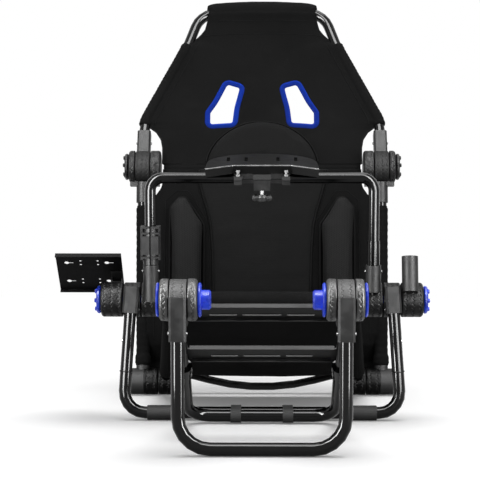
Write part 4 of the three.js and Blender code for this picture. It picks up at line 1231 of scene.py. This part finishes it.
front, back = [], []
for s in np.linspace(0, 1, SLING_ROWS):
    y = SLING_START + (SLING_END - SLING_START) * s
    for t in np.linspace(-1, 1, SLING_COLUMNS):
        hang = math.sin(math.pi * min(1, 0.12 + 0.8 * s)) * (1 - t * t)
        z = 12 * (1 - s) ** 4 - SAG * hang * min(1, 3 * s)
        z += (1.4 * ripple(t * 200, y, 11.0, 90.0) + 0.5 * ripple(t * 200, y, 12.0, 30.0)) * (1 - t ** 4)
        half = rail_x(y) if y > 66 else min(rail_x(y), BAR_HALF + (y - SLING_START) * 0.2)
        stitch = 0.9 * max(0.0, 1 - abs(abs(t) - 0.45) / 0.02)
        front.append((half * t, y, z + CLOTH / 2 - stitch))
        back.append((half * t, y, z - CLOTH / 2))
sling = make_piece("seat_sling", front + back, sheet_faces(SLING_ROWS, SLING_COLUMNS), seat_section,
                   seat_cloth, "seat")
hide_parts("seat_cover")
seat_runs = [[(side * rail_x(y), y, 0) for y in np.linspace(77, SLING_END, 100)] for side in (-1, 1)]
bar_run = [(x, 0, 0) for x in np.linspace(-BAR_HALF, BAR_HALF, 110)]


def bar_radius(share):
    return 17.2 + 0.25 * math.sin(share * 210) + 0.5 * bumps(share, 9, 7.7)


seat_hems = sleeves("seat_sleeves", seat_runs, sleeve_radius, seat_section, seat_cloth, "seat",
                    swept(bar_run, bar_radius, 28))
print("seat sling sags", SAG, "mm between rails", round(2 * rail_x(200)), "mm apart")

# %% [markdown]
# ## Bolts and small trim
#
# A moulded socket is held on its tube by one bolt through both, with a domed head that has a hexagon
# socket. The head is a turned profile whose inner rings are six-sided.


# %% Bolt heads
def bolt_head(at, axis, radius=3.3, height=3.0):
    """A button head that faces along axis, with a washer under it."""
    axis = Vector(axis).normalized()
    side = axis.orthogonal().normalized()
    up = axis.cross(side)
    around = 24
    rings = [(radius * 1.3, -0.6, 0), (radius * 1.3, 0.5, 0), (radius * 1.02, 0.6, 0), (radius, 1.4, 0),
             (radius * 0.82, height * 0.86, 0), (radius * 0.56, height, 0), (radius * 0.5, height, 1),
             (radius * 0.48, height * 0.42, 1)]
    points = []
    for r, lift, six in rings:
        for k in range(around):
            a = 2 * math.pi * k / around
            fit = math.cos(math.pi / 6) / math.cos((a % (math.pi / 3)) - math.pi / 6) if six else 1.0
            spoke = side * math.cos(a) + up * math.sin(a)
            points.append(Vector(at) + spoke * (r * fit) + axis * lift)
    return points, ring_faces(len(rings), around) + end_faces(len(rings), around)


BOLTED = [
    ("front_leg_bolts", "front_leg", flat_section["front"], (151, -32, -58), 15.2, (-1, 1)),
    ("middle_leg_bolts", "middle_frame", flat_section["middle"], (270.6, -28, -18), 15.2, (-1,)),
    ("backrest_bolts", "upper_back", upper_section, (279, 0, 62), 15.2, (-1, 1)),
    ("mast_bolts", "mast", section(MIDDLE_HUB, MAST_LEAN), (229.5, -30, 64), 15.7, (-1, 1)),
]
for name, body, place, (x, y, z), reach, ends in BOLTED:
    heads = [bolt_head((side * (x + end * reach), y, z), (side * end, 0, 0))
             for end in ends for side in (-1, 1)]
    make_piece(name, *joined(*heads), place, bolt_steel, body)
    print(name, len(heads))

# %% [markdown]
# The deck's front edge is folded down, and a thin light cord along the fold is a painted highlight, where the
# bend catches the lamps.

# %% Painted highlight along the deck's front fold
# Painted highlight: a light grey, mottled cord along the fold stands in for the lamps' reflection on the
# bend.
highlight_finish = Finish("painted fold highlight")
highlight_mottle = highlight_finish.mottle(60.0)
painted_fold_highlight = highlight_finish.done(Base_Color=highlight_finish.mix(grey(64), grey(150), highlight_mottle), Roughness=0.3,
                            Specular_IOR_Level=0.6)
FOLD_PLAN, FOLD_UP = [(-114, -59.5), (-60, -18.8), (60, -18.8), (114, -59.5)], 28.6
fold_line = bent_path([(x, y, FOLD_UP) for x, y in FOLD_PLAN], [5, 5], 2.0)
make_piece("deck_fold_highlight_cord", *swept(fold_line, 1.5, 12), deck_section, painted_fold_highlight, "wheel_deck")

# %% [markdown]
# The floor bend of the middle leg is a tube of its own, swaged and pushed over the leg. What shows is a lip
# round each leg, a hand's width above the floor.

# %% Swaged lips on the middle legs
LEG_TOP, LEG_FOOT, LIP_HEIGHT = Vector((270, 390, 262)), Vector((286, 370, 15.6)), 101.0


def lip_radius(share):
    return 12.6 + 1.1 * math.sin(math.pi * min(0.95, max(0.05, share)))


lips = []
for side in (-1, 1):
    run = []
    for height in (-2.6, -1.9, 0.0, 0.5, 0.9):
        here = LEG_TOP.lerp(LEG_FOOT, (LEG_TOP.z - LIP_HEIGHT - height) / (LEG_TOP.z - LEG_FOOT.z))
        run.append((here.x * side, here.y, here.z))
    lips.append(swept(run, lip_radius, 40))
make_piece("leg_lips", *joined(*lips), FLOOR_PLAN, gloss, "middle_frame")
print("lips", LIP_HEIGHT, "mm above the floor")
